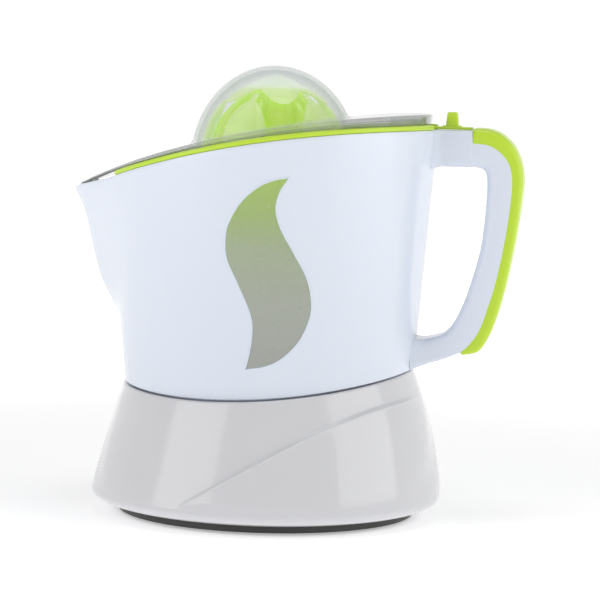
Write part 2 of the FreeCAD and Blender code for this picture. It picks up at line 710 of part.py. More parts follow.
def make_jug():
    low = number(d.seam_height) - 16
    outside = solid("jug_outside", jug_form(0, low, 212))
    lower = number(d.foot_inside_top)
    cavity = solid("jug_cavity", jug_form(number(d.jug_wall), lower, 214))
    width = number(d.handle_width)
    outer = rounded_outline(handle_corners(0))
    gap = rounded_outline([(60, 179.8, 0), (108.0, 181.6, 5), (107.4, 152, 150), (103, 122, 90),
                           (94.8, 98, 14), (84, 93, 15), (60, 89, 0)])
    loop = solid("handle_loop", plank(outer, width).cut(plank(gap, width + 2)))
    start = number(d.grip_start)
    inner = handle_corners(number(d.grip_thickness))
    core = rounded_outline([(40, 210, 0), (start - 0.2, 210, 0), (start - 0.2, inner[1][1], 0)]
                           + inner[1:5] + [(98.6, 86.6, 0), (96, 70, 0), (40, 70, 0)])
    core_block = plank(core, width + 2)
    grip_room = solid("grip_room", core_block)
    grip_cut = solid("grip_cut", core_block.makeOffsetShape(0.15, 0.01))
    handle = common("handle_core", [loop, grip_room])
    cut("handle_grip", cut("grip_plate", loop, grip_cut),
        over_rim_cap("grip_rim_limit"))
    foot = cylinder("jug_foot", d.jug_foot_radius, d.deck_height + d.fit_gap, d.rim_top)
    shell = cut("jug_shell", join("jug_and_handle", [outside, handle]),
                seam_block("jug_limit", d.seam_gap))
    whole = join("jug_whole", [shell, foot])
    foot_room = cylinder("foot_room", d.jug_foot_radius - d.jug_wall, d.jug_floor,
                         d.foot_inside_top + 0.5)
    tunnel = tube("jug_tunnel", d.tunnel_radius + d.tunnel_wall, d.tunnel_radius,
                  d.deck_height + d.fit_gap, d.tunnel_top)
    tunnel_way = cylinder("tunnel_way", d.tunnel_radius, d.deck_height - 2, d.jug_floor + 2)
    step_low = d.handle_top - d.lever_step
    lever_step = box("lever_step_room", 60, d.handle_width + 4, step_low, 220, x=d.grip_start - 30.2)
    hollow = cut("jug_hollow", whole, cavity, foot_room, tunnel_way, lever_step,
                 over_rim("rim_trim", 0, None))
    vessel = join("jug_vessel", [hollow, tunnel])
    opening = solid("window_opening", window_prism(0))
    insert = solid("window_insert", window_prism(number(d.window_gap)))
    wall = cut("window_wall", outside, cavity)
    common("level_window", [wall, insert])
    cut("jug_body", vessel, opening)


def over_rim_cap(label):
    """Nothing of the grip stands inside the jug's mouth."""
    return cylinder(label, d.jug_mouth_radius - 5, 60, 230)


def window_prism(inset):
    """The S-shaped gauge window, cut straight through the front wall; every point of its
    outline is drawn in by inset, and its two pointed ends by more."""
    top = (18.7, number(d.window_top))
    foot = (-1.3, number(d.window_bottom))
    left = [(12.1, 173.9), (-4.6, 162.3), (-11.8, 143.1), (-8.7, 129.6), (-1.6, 115.3), (1.9, 100.7),
            (0.1, 86.8)]
    right = [(15.6, 86.3), (25.4, 97.3), (29.8, 111.0), (27.8, 125.7), (20.6, 140.2), (12.8, 160.4)]
    loop = [Vector(x, -120, z) for x, z in [top] + left + [foot] + right]
    middle = Vector((top[0] + foot[0]) / 2, -120, (top[1] + foot[1]) / 2)
    moved = []
    for index, spot in enumerate(loop):
        along = loop[(index + 1) % len(loop)] - loop[index - 1]
        inward = Vector(-along.z, 0, along.x).normalize()
        if index in (0, len(left) + 1):
            inward = (middle - spot).normalize() * 5
        moved.append(spot + inward * inset)
    lines = []
    for run in (moved[:len(left) + 2], moved[len(left) + 1:] + moved[:1]):
        curve = Part.BSplineCurve()
        curve.interpolate(run)
        lines.append(curve.toShape())
    return Part.Face(Part.Wire(lines)).extrude(Vector(0, 100, 0))


# ---------------------------------------------------------------- strainer and lever

def lever_notch(label, low, high, extra):
    """The way through the rim for the lever's arm and its swing."""
    return box(label, 40, d.lever_width + extra, low, high, x=88)


def make_strainer():
    rim_form = solid("rim_form", jug_form(0, 150, 212))
    band = over_rim("lime_band", 0.15, d.lime_rim)
    mouth = cylinder("bowl_mouth", d.bowl_radius - d.bowl_wall, 100, 230)
    beak_side = box("rim_stop", 60, 240, 100, 230, x=-77 - 30)
    rim = cut("lime_rim_ring", common("lime_rim_solid", [rim_form, band]), mouth, beak_side)
    bowl_top = 206
    spread = d.bowl_radius - d.bowl_floor_radius
    bowl = turned("bowl_form", [
        (d.collar_radius, d.bowl_floor), (d.bowl_floor_radius, d.bowl_floor, 12),
        (d.bowl_floor_radius + 6, d.bowl_floor + 8), (d.bowl_floor_radius + spread, bowl_top),
        (d.bowl_radius - d.bowl_wall, bowl_top), (d.bowl_floor_radius + 6 - d.bowl_wall, d.bowl_floor + 9),
        (d.bowl_floor_radius - 1, d.bowl_floor + d.bowl_wall),
        (d.collar_radius, d.bowl_floor + d.bowl_wall), (d.collar_radius, d.collar_top),
        (d.shaft_radius + 4, d.collar_top), (d.shaft_radius + 4, d.collar_top - d.collar_wall),
        (d.collar_radius - d.collar_wall, d.collar_top - d.collar_wall),
        (d.collar_radius - d.collar_wall, d.bowl_floor)])
    trimmed = cut("bowl_trimmed", bowl, over_rim("bowl_trim", d.lime_rim, None))
    basket = join("basket_solid", [rim, trimmed])
    middle = (d.sieve_inner + d.sieve_outer) / 2
    slots = ring_of("sieve_slot", int(number(d.slot_count)), middle, 0,
                    lambda name, x, y, angle: box(name, d.sieve_outer - d.sieve_inner, d.slot_width,
                                                  d.bowl_floor - 1, d.bowl_floor + 3, x, y, angle))
    cut("strainer_basket", basket, lever_notch("lever_gap", 194, 215, 19), *slots)


def make_lever():
    low = d.bowl_floor + d.bowl_wall + 0.3
    top = low + d.ring_thickness
    disc = tube("lever_disc", d.bowl_floor_radius - 3.5, d.collar_radius + 0.4, low, top)
    middle = (d.sieve_inner + d.sieve_outer) / 2
    slots = ring_of("lever_slot", int(number(d.slot_count)), middle, 0,
                    lambda name, x, y, angle: box(name, d.sieve_outer - d.sieve_inner,
                                                  d.slot_width + 1.2, 140, 150, x, y, angle))
    ring = cut("lever_ring_plate", disc, *slots)
    half = number(d.lever_width) / 2
    wall_inside = number(d.bowl_radius) - number(d.bowl_wall)
    ring_edge = number(d.bowl_floor_radius) - 5
    base = number(low)
    strip_low = number(d.handle_top) - number(d.lever_step) + 0.6
    arm = rounded_outline([
        (ring_edge - 4, base, 0), (ring_edge + 1, base, 0), (number(d.bowl_floor_radius) + 2, base + 9, 6),
        (wall_inside - 2.6, strip_low, 2), (number(d.grip_start) - 0.8, strip_low, 0),
        (number(d.grip_start) - 0.8, strip_low + 1.6, 0), (wall_inside - 4.4, strip_low + 1.6, 2),
        (number(d.bowl_floor_radius) - 0.4, base + 9.6, 6), (ring_edge - 4, base + 1.6, 0)])
    strip = solid("lever_arm", plank(arm, half * 2))
    post_low = number(d.handle_top) - number(d.lever_step) + 1
    post = Part.makeLoft([post_wire(3.5, post_low), post_wire(2.5, number(d.post_height))], True, True)
    join("pulp_selector", [ring, strip, solid("lever_post", post)])


def post_wire(half, height):
    x = number(d.lever_ring)
    spots = [Vector(x - half, -half, height), Vector(x + half, -half, height),
             Vector(x + half, half, height), Vector(x - half, half, height)]
    return Part.makePolygon(spots + [spots[0]])


# ---------------------------------------------------------------- cones and cover

def cone_outline(radius, low, top, tip):
    """A squeezing cone's side: a steep skirt that rounds over to a blunt tip."""
    rise = top - low
    return [(radius, low), (radius * 0.93, low + rise * 0.48, 60), (radius * 0.5, low + rise * 0.88, 30),
            (tip, top)]


def make_small_cone():
    skirt = d.cone_skirt_height
    low = skirt + 2.2
    rib = cone_outline(d.small_cone_radius, low, d.small_cone_top, 0.6)
    core = cone_outline(d.small_cone_radius - 4.5, low, d.small_cone_top - 3, 0.5)
    body = turned("small_cone_core", [
        (0 * skirt, d.small_cone_top - 3)] + [(0 * skirt, low - 0.5), (d.small_cone_radius - 4.5, low - 0.5)]
        + core)
    ribs = []
    count = int(number(d.rib_count))
    blade = turned("cone_rib", [(0.3, d.small_cone_top - 4), (0.3, low - 0.5),
                                (d.small_cone_radius, low - 0.5)] + rib, angle=15)
    for index in range(count):
        link = add("Part::Compound", f"cone_rib_{index}")
        link.Links = [blade]
        link.Placement = Placement(Vector(), Rotation(Vector(0, 0, 1), 360 * index / count))
        ribs.append(link)
    disc = cylinder("cone_skirt", d.cone_skirt_radius, skirt, low)
    room = taper("cone_room", d.small_cone_radius - 7, 9, skirt - 1, d.small_cone_top - 12)
    hub = cylinder("cone_hub", d.hub_radius, d.collar_top + 0.5, d.small_cone_top - 8)
    bore = cylinder("hub_bore", d.shaft_radius + 0.1, 100, d.spindle_top + 0.6)
    flats = [box(f"hub_flat_{index}", 4, 12, d.collar_top, d.spindle_top + 2,
                 x=side * (d.drive_flat + 0.1 + 2)) for index, side in enumerate((1, -1))]
    keyed = cut("keyed_bore", bore, *flats)
    outer = join("small_cone_solid", [body, disc] + ribs)
    cut("small_cone", join("small_cone_hubbed", [cut("small_cone_shell", outer, room), hub]), keyed)


def make_large_cone():
    low = d.cone_skirt_height + 2.5
    gap = d.fit_gap
    inner = cone_outline(d.small_cone_radius + gap + 0.3, low, d.small_cone_top + gap + 0.5, 0.9)
    outer = cone_outline(d.large_cone_radius, low, d.large_cone_top, 1.2)
    inner_back = list(reversed(inner))
    inside = [(inner_back[0][0], inner_back[0][1], -30), (inner_back[1][0], inner_back[1][1], -60),
              (inner_back[2][0], inner_back[2][1]), ]
    shell = turned("large_cone_shell", [(0 * low, d.small_cone_top + gap + 0.5)] + inside
                   + [(inner[0][0], inner[0][1])] + outer + [(0 * low, d.large_cone_top)])
    count = int(number(d.petal_count))
    windows = ring_of("petal_gap", count, d.large_cone_radius, number(d.petal_gap_angle),
                      lambda name, x, y, angle: box(name, 24, 13, low + 8, low + 38, x, y, angle))
    cut("large_cone", shell, *windows)


def make_cover():
    outline = solid("cover_outline", jug_form(number(d.cover_inset), 152, 208))
    over = over_rim("cover_underside", d.lime_rim + d.cover_gap, None)
    under = under_cover("cover_top_limit", -40, 0)
    plate = common("cover_plate", [outline, over, under])
    scoop_round = cylinder("cover_scoop_round", d.bowl_radius - d.bowl_wall, 150, 230, x=-d.mouth_shift / 2)
    scoop = common("cover_scoop", [scoop_round, under_cover("cover_scoop_limit", -80, -d.cover_wall)])
    above = under_cover("dome_limit", -d.cover_wall / 2, None)
    cap = common("dome_cap", [dome_form("dome_outside", 0), above])
    tray = cut("cover_tray", plate, scoop)
    cut("dust_cover", join("cover_solid", [tray, cap]), dome_form("dome_inside", d.cover_wall))


def dome_form(label, inset):
    dome = add("Part::Ellipsoid", label)
    bind(dome, "Radius1", d.dome_height - inset)
    bind(dome, "Radius2", d.dome_radius - inset)
    bind(dome, "Radius3", d.dome_radius - inset)
    dome.Angle1 = -90
    dome.Angle2 = 90
    dome.Angle3 = 360
    return place(dome, 0, 0, d.dome_centre)


NODES = [
    "base_housing", "base_plate", "rubber_feet", "base_screws", "cord_grommet", "terminal_block",
    "gearbox_frame", "gearbox_cover", "gearbox_screws", "idler_pin", "lower_bush", "upper_bush",
    "shaft_seal", "motor_stator", "motor_coils", "motor_bracket", "microswitch_body",
    "return_spring", "motor_rotor", "motor_shaft", "motor_pinion", "idler_gear", "spring_plunger",
    "drive_spindle", "output_gear", "switch_button", "jug_body", "level_window", "handle_grip",
    "strainer_basket", "pulp_selector", "small_cone", "large_cone", "dust_cover",
]

for make in (make_base, make_base_plate, make_back_fittings, make_gearbox, make_drive, make_motor,
             make_switch, make_jug, make_strainer, make_lever, make_small_cone, make_large_cone,
             make_cover):
    make()
    doc.recompute()

for item in doc.Objects:
    if "Invalid" in item.State or "Error" in item.State:
        raise RuntimeError(f"{item.Label} did not recompute: {item.State}")

os.makedirs("parts", exist_ok=True)
for node in NODES:
    piece = doc.getObjectsByLabel(node)[0]
    if piece.Shape.isNull() or not piece.Shape.isValid():
        raise RuntimeError(f"{node} has no valid shape")
    piece.Shape.exportStep(f"parts/{node}.step")
    print(f"{node}: {len(piece.Shape.Solids)} solids, {piece.Shape.Volume / 1000:.1f} cm3")
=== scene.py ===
import json
import math

import bmesh
import bpy
import numpy as np
from mathutils import Matrix, Vector

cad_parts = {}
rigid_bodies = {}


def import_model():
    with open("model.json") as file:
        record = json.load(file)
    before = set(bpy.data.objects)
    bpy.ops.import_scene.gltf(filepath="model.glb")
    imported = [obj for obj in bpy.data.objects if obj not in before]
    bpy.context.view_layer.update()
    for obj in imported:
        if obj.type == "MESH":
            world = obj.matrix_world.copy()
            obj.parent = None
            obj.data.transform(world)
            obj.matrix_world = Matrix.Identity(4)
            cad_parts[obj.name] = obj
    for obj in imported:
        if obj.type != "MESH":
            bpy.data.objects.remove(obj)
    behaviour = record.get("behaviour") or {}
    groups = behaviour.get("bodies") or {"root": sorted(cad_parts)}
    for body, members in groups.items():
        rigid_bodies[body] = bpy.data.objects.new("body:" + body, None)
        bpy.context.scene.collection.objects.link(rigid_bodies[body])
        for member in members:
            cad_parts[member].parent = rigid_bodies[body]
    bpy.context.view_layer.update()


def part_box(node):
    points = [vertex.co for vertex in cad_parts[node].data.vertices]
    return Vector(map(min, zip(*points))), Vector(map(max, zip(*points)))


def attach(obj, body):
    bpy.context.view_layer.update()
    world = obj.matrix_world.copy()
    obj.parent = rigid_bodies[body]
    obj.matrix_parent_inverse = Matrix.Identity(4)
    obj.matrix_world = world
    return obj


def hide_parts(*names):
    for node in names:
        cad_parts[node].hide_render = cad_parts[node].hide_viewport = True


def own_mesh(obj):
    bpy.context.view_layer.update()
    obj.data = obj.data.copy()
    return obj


# The looks of an electric citrus press.  Lengths are worked out in millimetres and turned
# into metres where a mesh is made.

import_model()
MM = 0.001
AROUND = 288


def node_box(node):
    low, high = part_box(node)
    return [value / MM for value in low], [value / MM for value in high]


BASE_LOW, BASE_HIGH = node_box("base_housing")
PLATE_HIGH = node_box("base_plate")[1]
COVER_HIGH = node_box("dust_cover")[1]
LARGE_HIGH = node_box("large_cone")[1]
SMALL_LOW, SMALL_HIGH = node_box("small_cone")
BASKET_LOW = node_box("strainer_basket")[0]
LEVER_LOW, LEVER_HIGH = node_box("pulp_selector")
SPRING_LOW, SPRING_HIGH = node_box("return_spring")

# drive base
BASE_RADIUS = BASE_HIGH[0]
SKIRT_HEIGHT = BASE_LOW[2]
SKIRT_RADIUS = PLATE_HIGH[0] + 1.5
TOWER_TOP = BASE_HIGH[2]
SEAM_HEIGHT, SEAM_RADIUS, SEAM_CURVE, SEAM_LEAN = 71.0, 73.4, 480.0, math.tan(math.radians(4))
DECK_HEIGHT = 58.0
# jug
JUG_LOW_RADIUS, JUG_LOW_HEIGHT = 73.6, 70.0
JUG_MOUTH_RADIUS, MOUTH_HEIGHT, MOUTH_SHIFT = 85.5, 196.0, 2.7
JUG_WALL = 2.4
FOOT_RADIUS, FOOT_LOW, JUG_FLOOR = 70.2, 58.3, 61.0
TUNNEL_RADIUS, TUNNEL_WALL, TUNNEL_TOP = 17.9, 2.1, 154.0
TIP_RADIUS = 14.0
# lime rim and cover
RIM_ARC = (502.9, 158.4, 198.1)
COVER_ARC = (514.0, 161.9, 206.3)
ARC_LEFT, ARC_RIGHT = -110.0, 95.0
LIME_LOW, LIME_HIGH = 0.15, 2.3
COVER_INSET, COVER_WALL = 3.6, 2.0
DOME_RADIUS, DOME_CENTRE = 42.5, 180.0
DOME_HEIGHT = COVER_HIGH[2] - DOME_CENTRE


# -------- lines and meshes

def spline(points, count):
    """Count points along a smooth line through the given ones."""
    knots = np.array(points, dtype=float)
    padded = np.vstack([2 * knots[0] - knots[1], knots, 2 * knots[-1] - knots[-2]])
    places = np.linspace(0, len(knots) - 1, count)
    line = []
    for place in places:
        span = min(int(place), len(knots) - 2)
        t = place - span
        a, b, c, d = padded[span:span + 4]
        line.append(0.5 * (2 * b + (c - a) * t + (2 * a - 5 * b + 4 * c - d) * t ** 2
                           + (3 * b - a - 3 * c + d) * t ** 3))
    return np.array(line)


def smooth_value(points):
    """A function that passes smoothly through (position, value) points."""
    line = spline(points, 40 * len(points))
    order = np.argsort(line[:, 0])
    return lambda position: float(np.interp(position, line[order, 0], line[order, 1]))


def ease(value, low, high):
    share = min(max((value - low) / (high - low), 0.0), 1.0)
    return share * share * (3 - 2 * share)


def arc_height(arc, x):
    """The height at x of an arched line that ends at ARC_LEFT and ARC_RIGHT."""
    radius, left_height, right_height = arc
    chord = Vector((ARC_RIGHT - ARC_LEFT, right_height - left_height))
    middle = Vector(((ARC_RIGHT + ARC_LEFT) / 2, (left_height + right_height) / 2))
    drop = math.sqrt(radius ** 2 - chord.length_squared / 4)
    down = Vector((chord.y, -chord.x)).normalized()
    centre = middle + down * drop
    return centre.y + math.sqrt(radius ** 2 - (x - centre.x) ** 2)


def seam_height(x, y):
    return SEAM_HEIGHT + SEAM_LEAN * x - (SEAM_CURVE - math.sqrt(SEAM_CURVE ** 2 - y * y))


def placed(name, data):
    """A new object in the scene."""
    item = bpy.data.objects.new(name, data)
    bpy.context.scene.collection.objects.link(item)
    return item


def shaded(name, mesh, sharp):
    """An object shaded smooth but for edges that turn by more than sharp degrees."""
    mesh.shade_smooth()
    mesh.set_sharp_from_angle(angle=math.radians(sharp))
    return placed(name, mesh)


def polar(radius, turn, height):
    """A point by its distance and direction from the drive axis."""
    return radius * math.cos(turn), radius * math.sin(turn), height


def finish_mesh(name, mesh, sharp=35):
    """Cleans a mesh, turns its faces outwards and makes it an object."""
    work = bmesh.new()
    work.from_mesh(mesh)
    bmesh.ops.remove_doubles(work, verts=work.verts, dist=0.00001)
    bmesh.ops.dissolve_degenerate(work, dist=0.000005, edges=work.edges)
    loose = [edge for edge in work.edges if not edge.link_faces]
    bmesh.ops.delete(work, geom=loose, context="EDGES")
    bmesh.ops.recalc_face_normals(work, faces=work.faces)
    work.to_mesh(mesh)
    work.free()
    return shaded(name, mesh, sharp)


def ring_mesh(name, rings, looped=False, sharp=35, around=True):
    """A skin over rings of points; looped joins the last ring to the first."""
    grid = np.array(rings, dtype=float) * MM
    rows, columns, _ = grid.shape
    faces = []
    for row in range(rows if looped else rows - 1):
        below = (row + 1) % rows
        for column in range(columns if around else columns - 1):
            beside = (column + 1) % columns
            faces.append((row * columns + column, row * columns + beside,
                          below * columns + beside, below * columns + column))
    mesh = bpy.data.meshes.new(name)
    mesh.from_pydata(grid.reshape(-1, 3).tolist(), [], faces)
    return finish_mesh(name, mesh, sharp)


def capped(rings):
    """Rings closed at both ends by a point in their middle."""
    first = np.repeat(np.mean(rings[0], axis=0)[None, :], len(rings[0]), axis=0)
    last = np.repeat(np.mean(rings[-1], axis=0)[None, :], len(rings[-1]), axis=0)
    return [first] + list(rings) + [last]


def level_ring(radius, height, count=AROUND, x=0.0, y=0.0):
    turns = np.linspace(0, 2 * math.pi, count, endpoint=False)
    return np.stack([x + radius * np.cos(turns), y + radius * np.sin(turns),
                     np.full(count, float(height))], axis=1)


def turned(name, profile, count=96, x=0.0, y=0.0, sharp=35):
    """A closed shape turned about an upright axis from (radius, height) points."""
    rings = [level_ring(radius, height, count, x, y) for radius, height in profile]
    return ring_mesh(name, rings, looped=True, sharp=sharp)


def skin(name, columns, sharp):
    """A closed skin from one column of points in each direction."""
    rings = np.array(list(columns)).transpose(1, 0, 2)
    return ring_mesh(name, rings, looped=True, sharp=sharp)


def joined(name, pieces, sharp=35):
    """One object out of several, which are removed."""
    work = bmesh.new()
    for piece in pieces:
        work.from_mesh(piece.data)
    mesh = bpy.data.meshes.new(name)
    work.to_mesh(mesh)
    work.free()
    for piece in pieces:
        bpy.data.objects.remove(piece)
    return shaded(name, mesh, sharp)


def baked(piece, sharp=35):
    """The piece with its modifiers worked into its mesh."""
    graph = bpy.context.evaluated_depsgraph_get()
    mesh = bpy.data.meshes.new_from_object(piece.evaluated_get(graph))
    name = piece.name
    bpy.data.objects.remove(piece)
    mesh.name = name
    return shaded(name, mesh, sharp)


def carve(piece, tool, operation, sharp=35):
    step = piece.modifiers.new("carve", "BOOLEAN")
    step.operation = operation
    step.object = tool
    step.solver = "EXACT"
    return baked(piece, sharp)


def block(name, low, high, edge=0.6, taper=0.0):
    """A box with rounded edges whose top is drawn in by taper."""
    corners = []
    for z, inset in ((low[2], 0.0), (high[2], taper)):
        for x in (low[0] + inset, high[0] - inset):
            for y in (low[1] + inset, high[1] - inset):
                corners.append((x * MM, y * MM, z * MM))
    faces = [(0, 1, 3, 2), (4, 6, 7, 5), (0, 4, 5, 1), (2, 3, 7, 6), (0, 2, 6, 4), (1, 5, 7, 3)]
    mesh = bpy.data.meshes.new(name)
    mesh.from_pydata(corners, [], faces)
    piece = finish_mesh(name, mesh)
    round_edges = piece.modifiers.new("edges", "BEVEL")
    round_edges.width = edge * MM
    round_edges.segments = 3
    return baked(piece, 50)


# -------- materials

# where painted highlight, shade and show-through begin and end on a material, in metres
CAP_HIGHLIGHT_HEIGHTS = (0.2155, 0.2185)
COVER_SHADE_RADII = (0.0745, 0.079)
WINDOW_FOOT, WINDOW_HEIGHT = 0.081, 0.094


class Level:
    """A number that varies over a surface, with arithmetic that adds Math nodes."""

    def __init__(self, finish, socket):
        self.finish = finish
        self.socket = socket

    def calculate(self, operation, first, second):
        return Level(self.finish, self.finish.node(
            "ShaderNodeMath", {"operation": operation}, {0: first, 1: second}))

    def __add__(self, other):
        return self.calculate("ADD", self, other)

    def __sub__(self, other):
        return self.calculate("SUBTRACT", self, other)

    def __rsub__(self, other):
        return self.calculate("SUBTRACT", other, self)

    def __mul__(self, other):
        return self.calculate("MULTIPLY", self, other)

    __radd__ = __add__
    __rmul__ = __mul__


class Finish:
    """A material and the nodes that make it."""

    def __init__(self, name):
        self.material = bpy.data.materials.new(name)
        self.material.use_nodes = True
        self.tree = self.material.node_tree
        self.shader = next(node for node in self.tree.nodes if node.type == "BSDF_PRINCIPLED")
        self.output = next(node for node in self.tree.nodes if node.type == "OUTPUT_MATERIAL")
        self.place = self.node("ShaderNodeTexCoord", {}, {}, "Object")

    def node(self, kind, settings, values, output=0):
        made = self.tree.nodes.new(kind)
        for setting, value in settings.items():
            if setting == "stops":
                ramp = made.color_ramp.elements
                while len(ramp) < len(value):
                    ramp.new(0.5)
                for element, (position, colour) in zip(ramp, value):
                    element.position = position
                    element.color = (*colour, 1)
            else:
                setattr(made, setting, value)
        for socket, value in values.items():
            if isinstance(value, Level):
                value = value.socket
            if isinstance(value, bpy.types.NodeSocket):
                self.tree.links.new(value, made.inputs[socket])
            else:
                made.inputs[socket].default_value = value
        return made.outputs[output]

    def noise(self, scale, detail=2.0, stretch=(1, 1, 1)):
        place = self.node("ShaderNodeMapping", {}, {"Vector": self.place, "Scale": stretch})
        return Level(self, self.node("ShaderNodeTexNoise", {},
                                     {"Vector": place, "Scale": scale, "Detail": detail}, "Fac"))

    def height(self):
        split = self.node("ShaderNodeSeparateXYZ", {}, {0: self.place}, "Z")
        return Level(self, split)

    def climb(self, value, low, high):
        """A share that rises smoothly from 0 at low to 1 at high."""
        return Level(self, self.node(
            "ShaderNodeMapRange", {"interpolation_type": "SMOOTHSTEP"},
            {"Value": value, "From Min": low, "From Max": high}))

    def blend(self, share, first, second):
        made = self.tree.nodes.new("ShaderNodeMix")
        made.data_type = "RGBA"
        self.tree.links.new(share.socket, made.inputs[0])
        for socket, colour in ((6, first), (7, second)):
            if isinstance(colour, bpy.types.NodeSocket):
                self.tree.links.new(colour, made.inputs[socket])
            else:
                made.inputs[socket].default_value = (*colour, 1)
        return made.outputs[2]

    def set(self, **values):
        for name, value in values.items():
            socket = self.shader.inputs[name.replace("_", " ")]
            if isinstance(value, Level):
                value = value.socket
            if isinstance(value, bpy.types.NodeSocket):
                self.tree.links.new(value, socket)
            else:
                socket.default_value = value

    def bump(self, level, strength, depth):
        self.set(Normal=self.node("ShaderNodeBump", {}, {
            "Strength": strength, "Distance": depth, "Height": level}, "Normal"))


def linear(red, green, blue):
    """A colour given as 0 to 255 display values."""
    def one(value):
        share = value / 255
        return share / 12.92 if share <= 0.04045 else ((share + 0.055) / 1.055) ** 2.4
    return one(red), one(green), one(blue)


def moulded_plastic(name, colour, shade, gloss, coat=0.0, soft=0.0, grain=0.15, glow=0.0):
    """Injection-moulded plastic: a faint flow variation, polish that wanders a little and a
    very fine skin.  Glow stands for light that comes through a thin wall from behind."""
    finish = Finish(name)
    finish.set(Emission_Color=(*colour, 1), Emission_Strength=glow)
    flow = finish.noise(9, 3, (1, 1, 0.35))
    finish.set(Base_Color=finish.blend(flow, shade, colour),
               Roughness=finish.noise(60, 3) * 0.08 + gloss,
               Coat_Weight=coat, Coat_Roughness=0.04)
    finish.set(Subsurface_Weight=soft, Subsurface_Scale=0.004)
    finish.bump(finish.noise(900, 2) * 0.4 + finish.noise(120, 2) * 0.6, grain, 0.00012)
    return finish.material


def metal(name, colour, gloss, scratch=(1, 1, 60)):
    finish = Finish(name)
    lines = finish.noise(180, 4, scratch)
    finish.set(Base_Color=finish.blend(lines, tuple(0.75 * c for c in colour), colour),
               Metallic=1.0, Roughness=lines * 0.2 + gloss)
    finish.bump(lines, 0.2, 0.0001)
    return finish.material


def frosted_window():
    """The gauge window, with what shows through it painted into its colour: lime near the top
    for the strainer behind it and grey lower down for the drive tower, as painted light
    coming through a frosted wall."""
    finish = Finish("frosted_window")
    # painted light from behind: the colour ramps from grey at the window's foot to lime at its top
    climb = (finish.height() - WINDOW_FOOT) * (1 / WINDOW_HEIGHT)
    glow = finish.node("ShaderNodeValToRGB", {"stops": [
        (0.0, linear(160, 163, 158)), (0.35, linear(165, 170, 158)), (0.62, linear(160, 172, 140)),
        (0.8, linear(156, 180, 106)), (1.0, linear(162, 192, 88))]}, {"Fac": climb}, "Color")
    cloud = finish.noise(30, 3)
    finish.set(Base_Color=finish.blend(cloud * 0.1, glow, linear(205, 212, 200)),
               Roughness=finish.noise(70) * 0.1 + 0.22, Coat_Weight=0.3, Coat_Roughness=0.05)
    finish.set(Subsurface_Weight=0.15, Subsurface_Scale=0.003)
    finish.bump(finish.noise(700), 0.2, 0.00015)
    return finish.material


def see_through(name, tint, body, gloss, clear_share, edge_share, smear=0.0, glow=0.0,
                painted_cap_highlight=None, edge=None):
    """A clear or milky moulding: what is behind shows, and its edges turn solid.  Glow
    stands for the light that a milky wall scatters back from inside.  The cap colour is a
    painted highlight, a near-white blended over a milky cone's top for the overhead light's
    reflection.  The edge colour is painted shade, a grey blended into a clear cover's outer
    wall, which is also made more solid there, for how a clear wall looks seen edge-on."""
    finish = Finish(name)
    colour = finish.blend(finish.noise(14, 2), body, tuple(0.93 * c for c in body))
    # painted highlight: above the given heights the milky cap turns near-white for the overhead
    # light's reflection
    if painted_cap_highlight:
        colour = finish.blend(finish.climb(finish.height(), *CAP_HIGHLIGHT_HEIGHTS), colour, painted_cap_highlight)
    # painted shade: the clear cover's outer wall turns grey, for how a clear wall looks seen
    # edge-on
    if edge:
        flat = finish.node("ShaderNodeVectorMath", {"operation": "MULTIPLY"},
                           {0: finish.place, 1: (1, 1, 0)})
        away = finish.node("ShaderNodeVectorMath", {"operation": "LENGTH"}, {0: flat}, "Value")
        wall = finish.climb(away, *COVER_SHADE_RADII)
        colour = finish.blend(wall, colour, edge)
    finish.set(Emission_Color=colour, Emission_Strength=glow)
    finish.set(Base_Color=colour,
               Roughness=finish.noise(40) * 0.06 + gloss, Coat_Weight=0.4)
    finish.bump(finish.noise(160, 2) * 0.7 + finish.noise(600) * 0.3, 0.12, 0.0001)
    facing = Level(finish, finish.node("ShaderNodeLayerWeight", {}, {"Blend": 0.35}, "Facing"))
    share = facing * facing * edge_share + clear_share + finish.noise(25) * smear
    # the painted grey wall is also made more solid
    if edge:
        share = share + wall * 0.4
    clear = finish.node("ShaderNodeBsdfTransparent", {}, {"Color": (*tint, 1)})
    mix = finish.node("ShaderNodeMixShader", {}, {0: share, 1: clear, 2: finish.shader.outputs[0]})
    finish.tree.links.new(mix, finish.output.inputs["Surface"])
    return finish.material


WHITE = moulded_plastic("white_gloss", linear(229, 235, 246), linear(222, 229, 242), 0.16, 0.25,
                        0.05)
BASE_GREY = moulded_plastic("base_gloss", linear(217, 217, 220), linear(211, 211, 215), 0.13, 0.35)
LIME = moulded_plastic("lime_gloss", linear(194, 224, 56), linear(184, 216, 46), 0.3, 0.05, 0.1,
                       0.15, 0.05)
LIME_DEEP = moulded_plastic("lime_cone", linear(190, 222, 52), linear(172, 208, 30), 0.22, 0.2,
                            0.15, 0.15, 0.36)
DARK = moulded_plastic("dark_base_plastic", linear(46, 45, 45), linear(38, 37, 37), 0.42, 0, 0, 0.5)
BLACK = moulded_plastic("black_plastic", linear(38, 38, 40), linear(30, 30, 32), 0.45, 0, 0, 0.5)
RUBBER = moulded_plastic("black_rubber", linear(44, 43, 43), linear(34, 33, 33), 0.7, 0, 0, 0.8)
NYLON = moulded_plastic("gear_nylon", linear(232, 229, 214), linear(222, 218, 200), 0.38)
RED = moulded_plastic("red_button", linear(190, 40, 32), linear(170, 32, 26), 0.35)
STEEL = metal("drawn_steel", (0.62, 0.63, 0.65), 0.22)
IRON = metal("stacked_laminations", (0.32, 0.32, 0.34), 0.4, (1, 1, 40))
BRONZE = metal("sintered_bronze", (0.55, 0.38, 0.2), 0.35, (1, 1, 1))
COPPER = metal("enamelled_wire", (0.6, 0.26, 0.12), 0.25)
WINDOW = frosted_window()
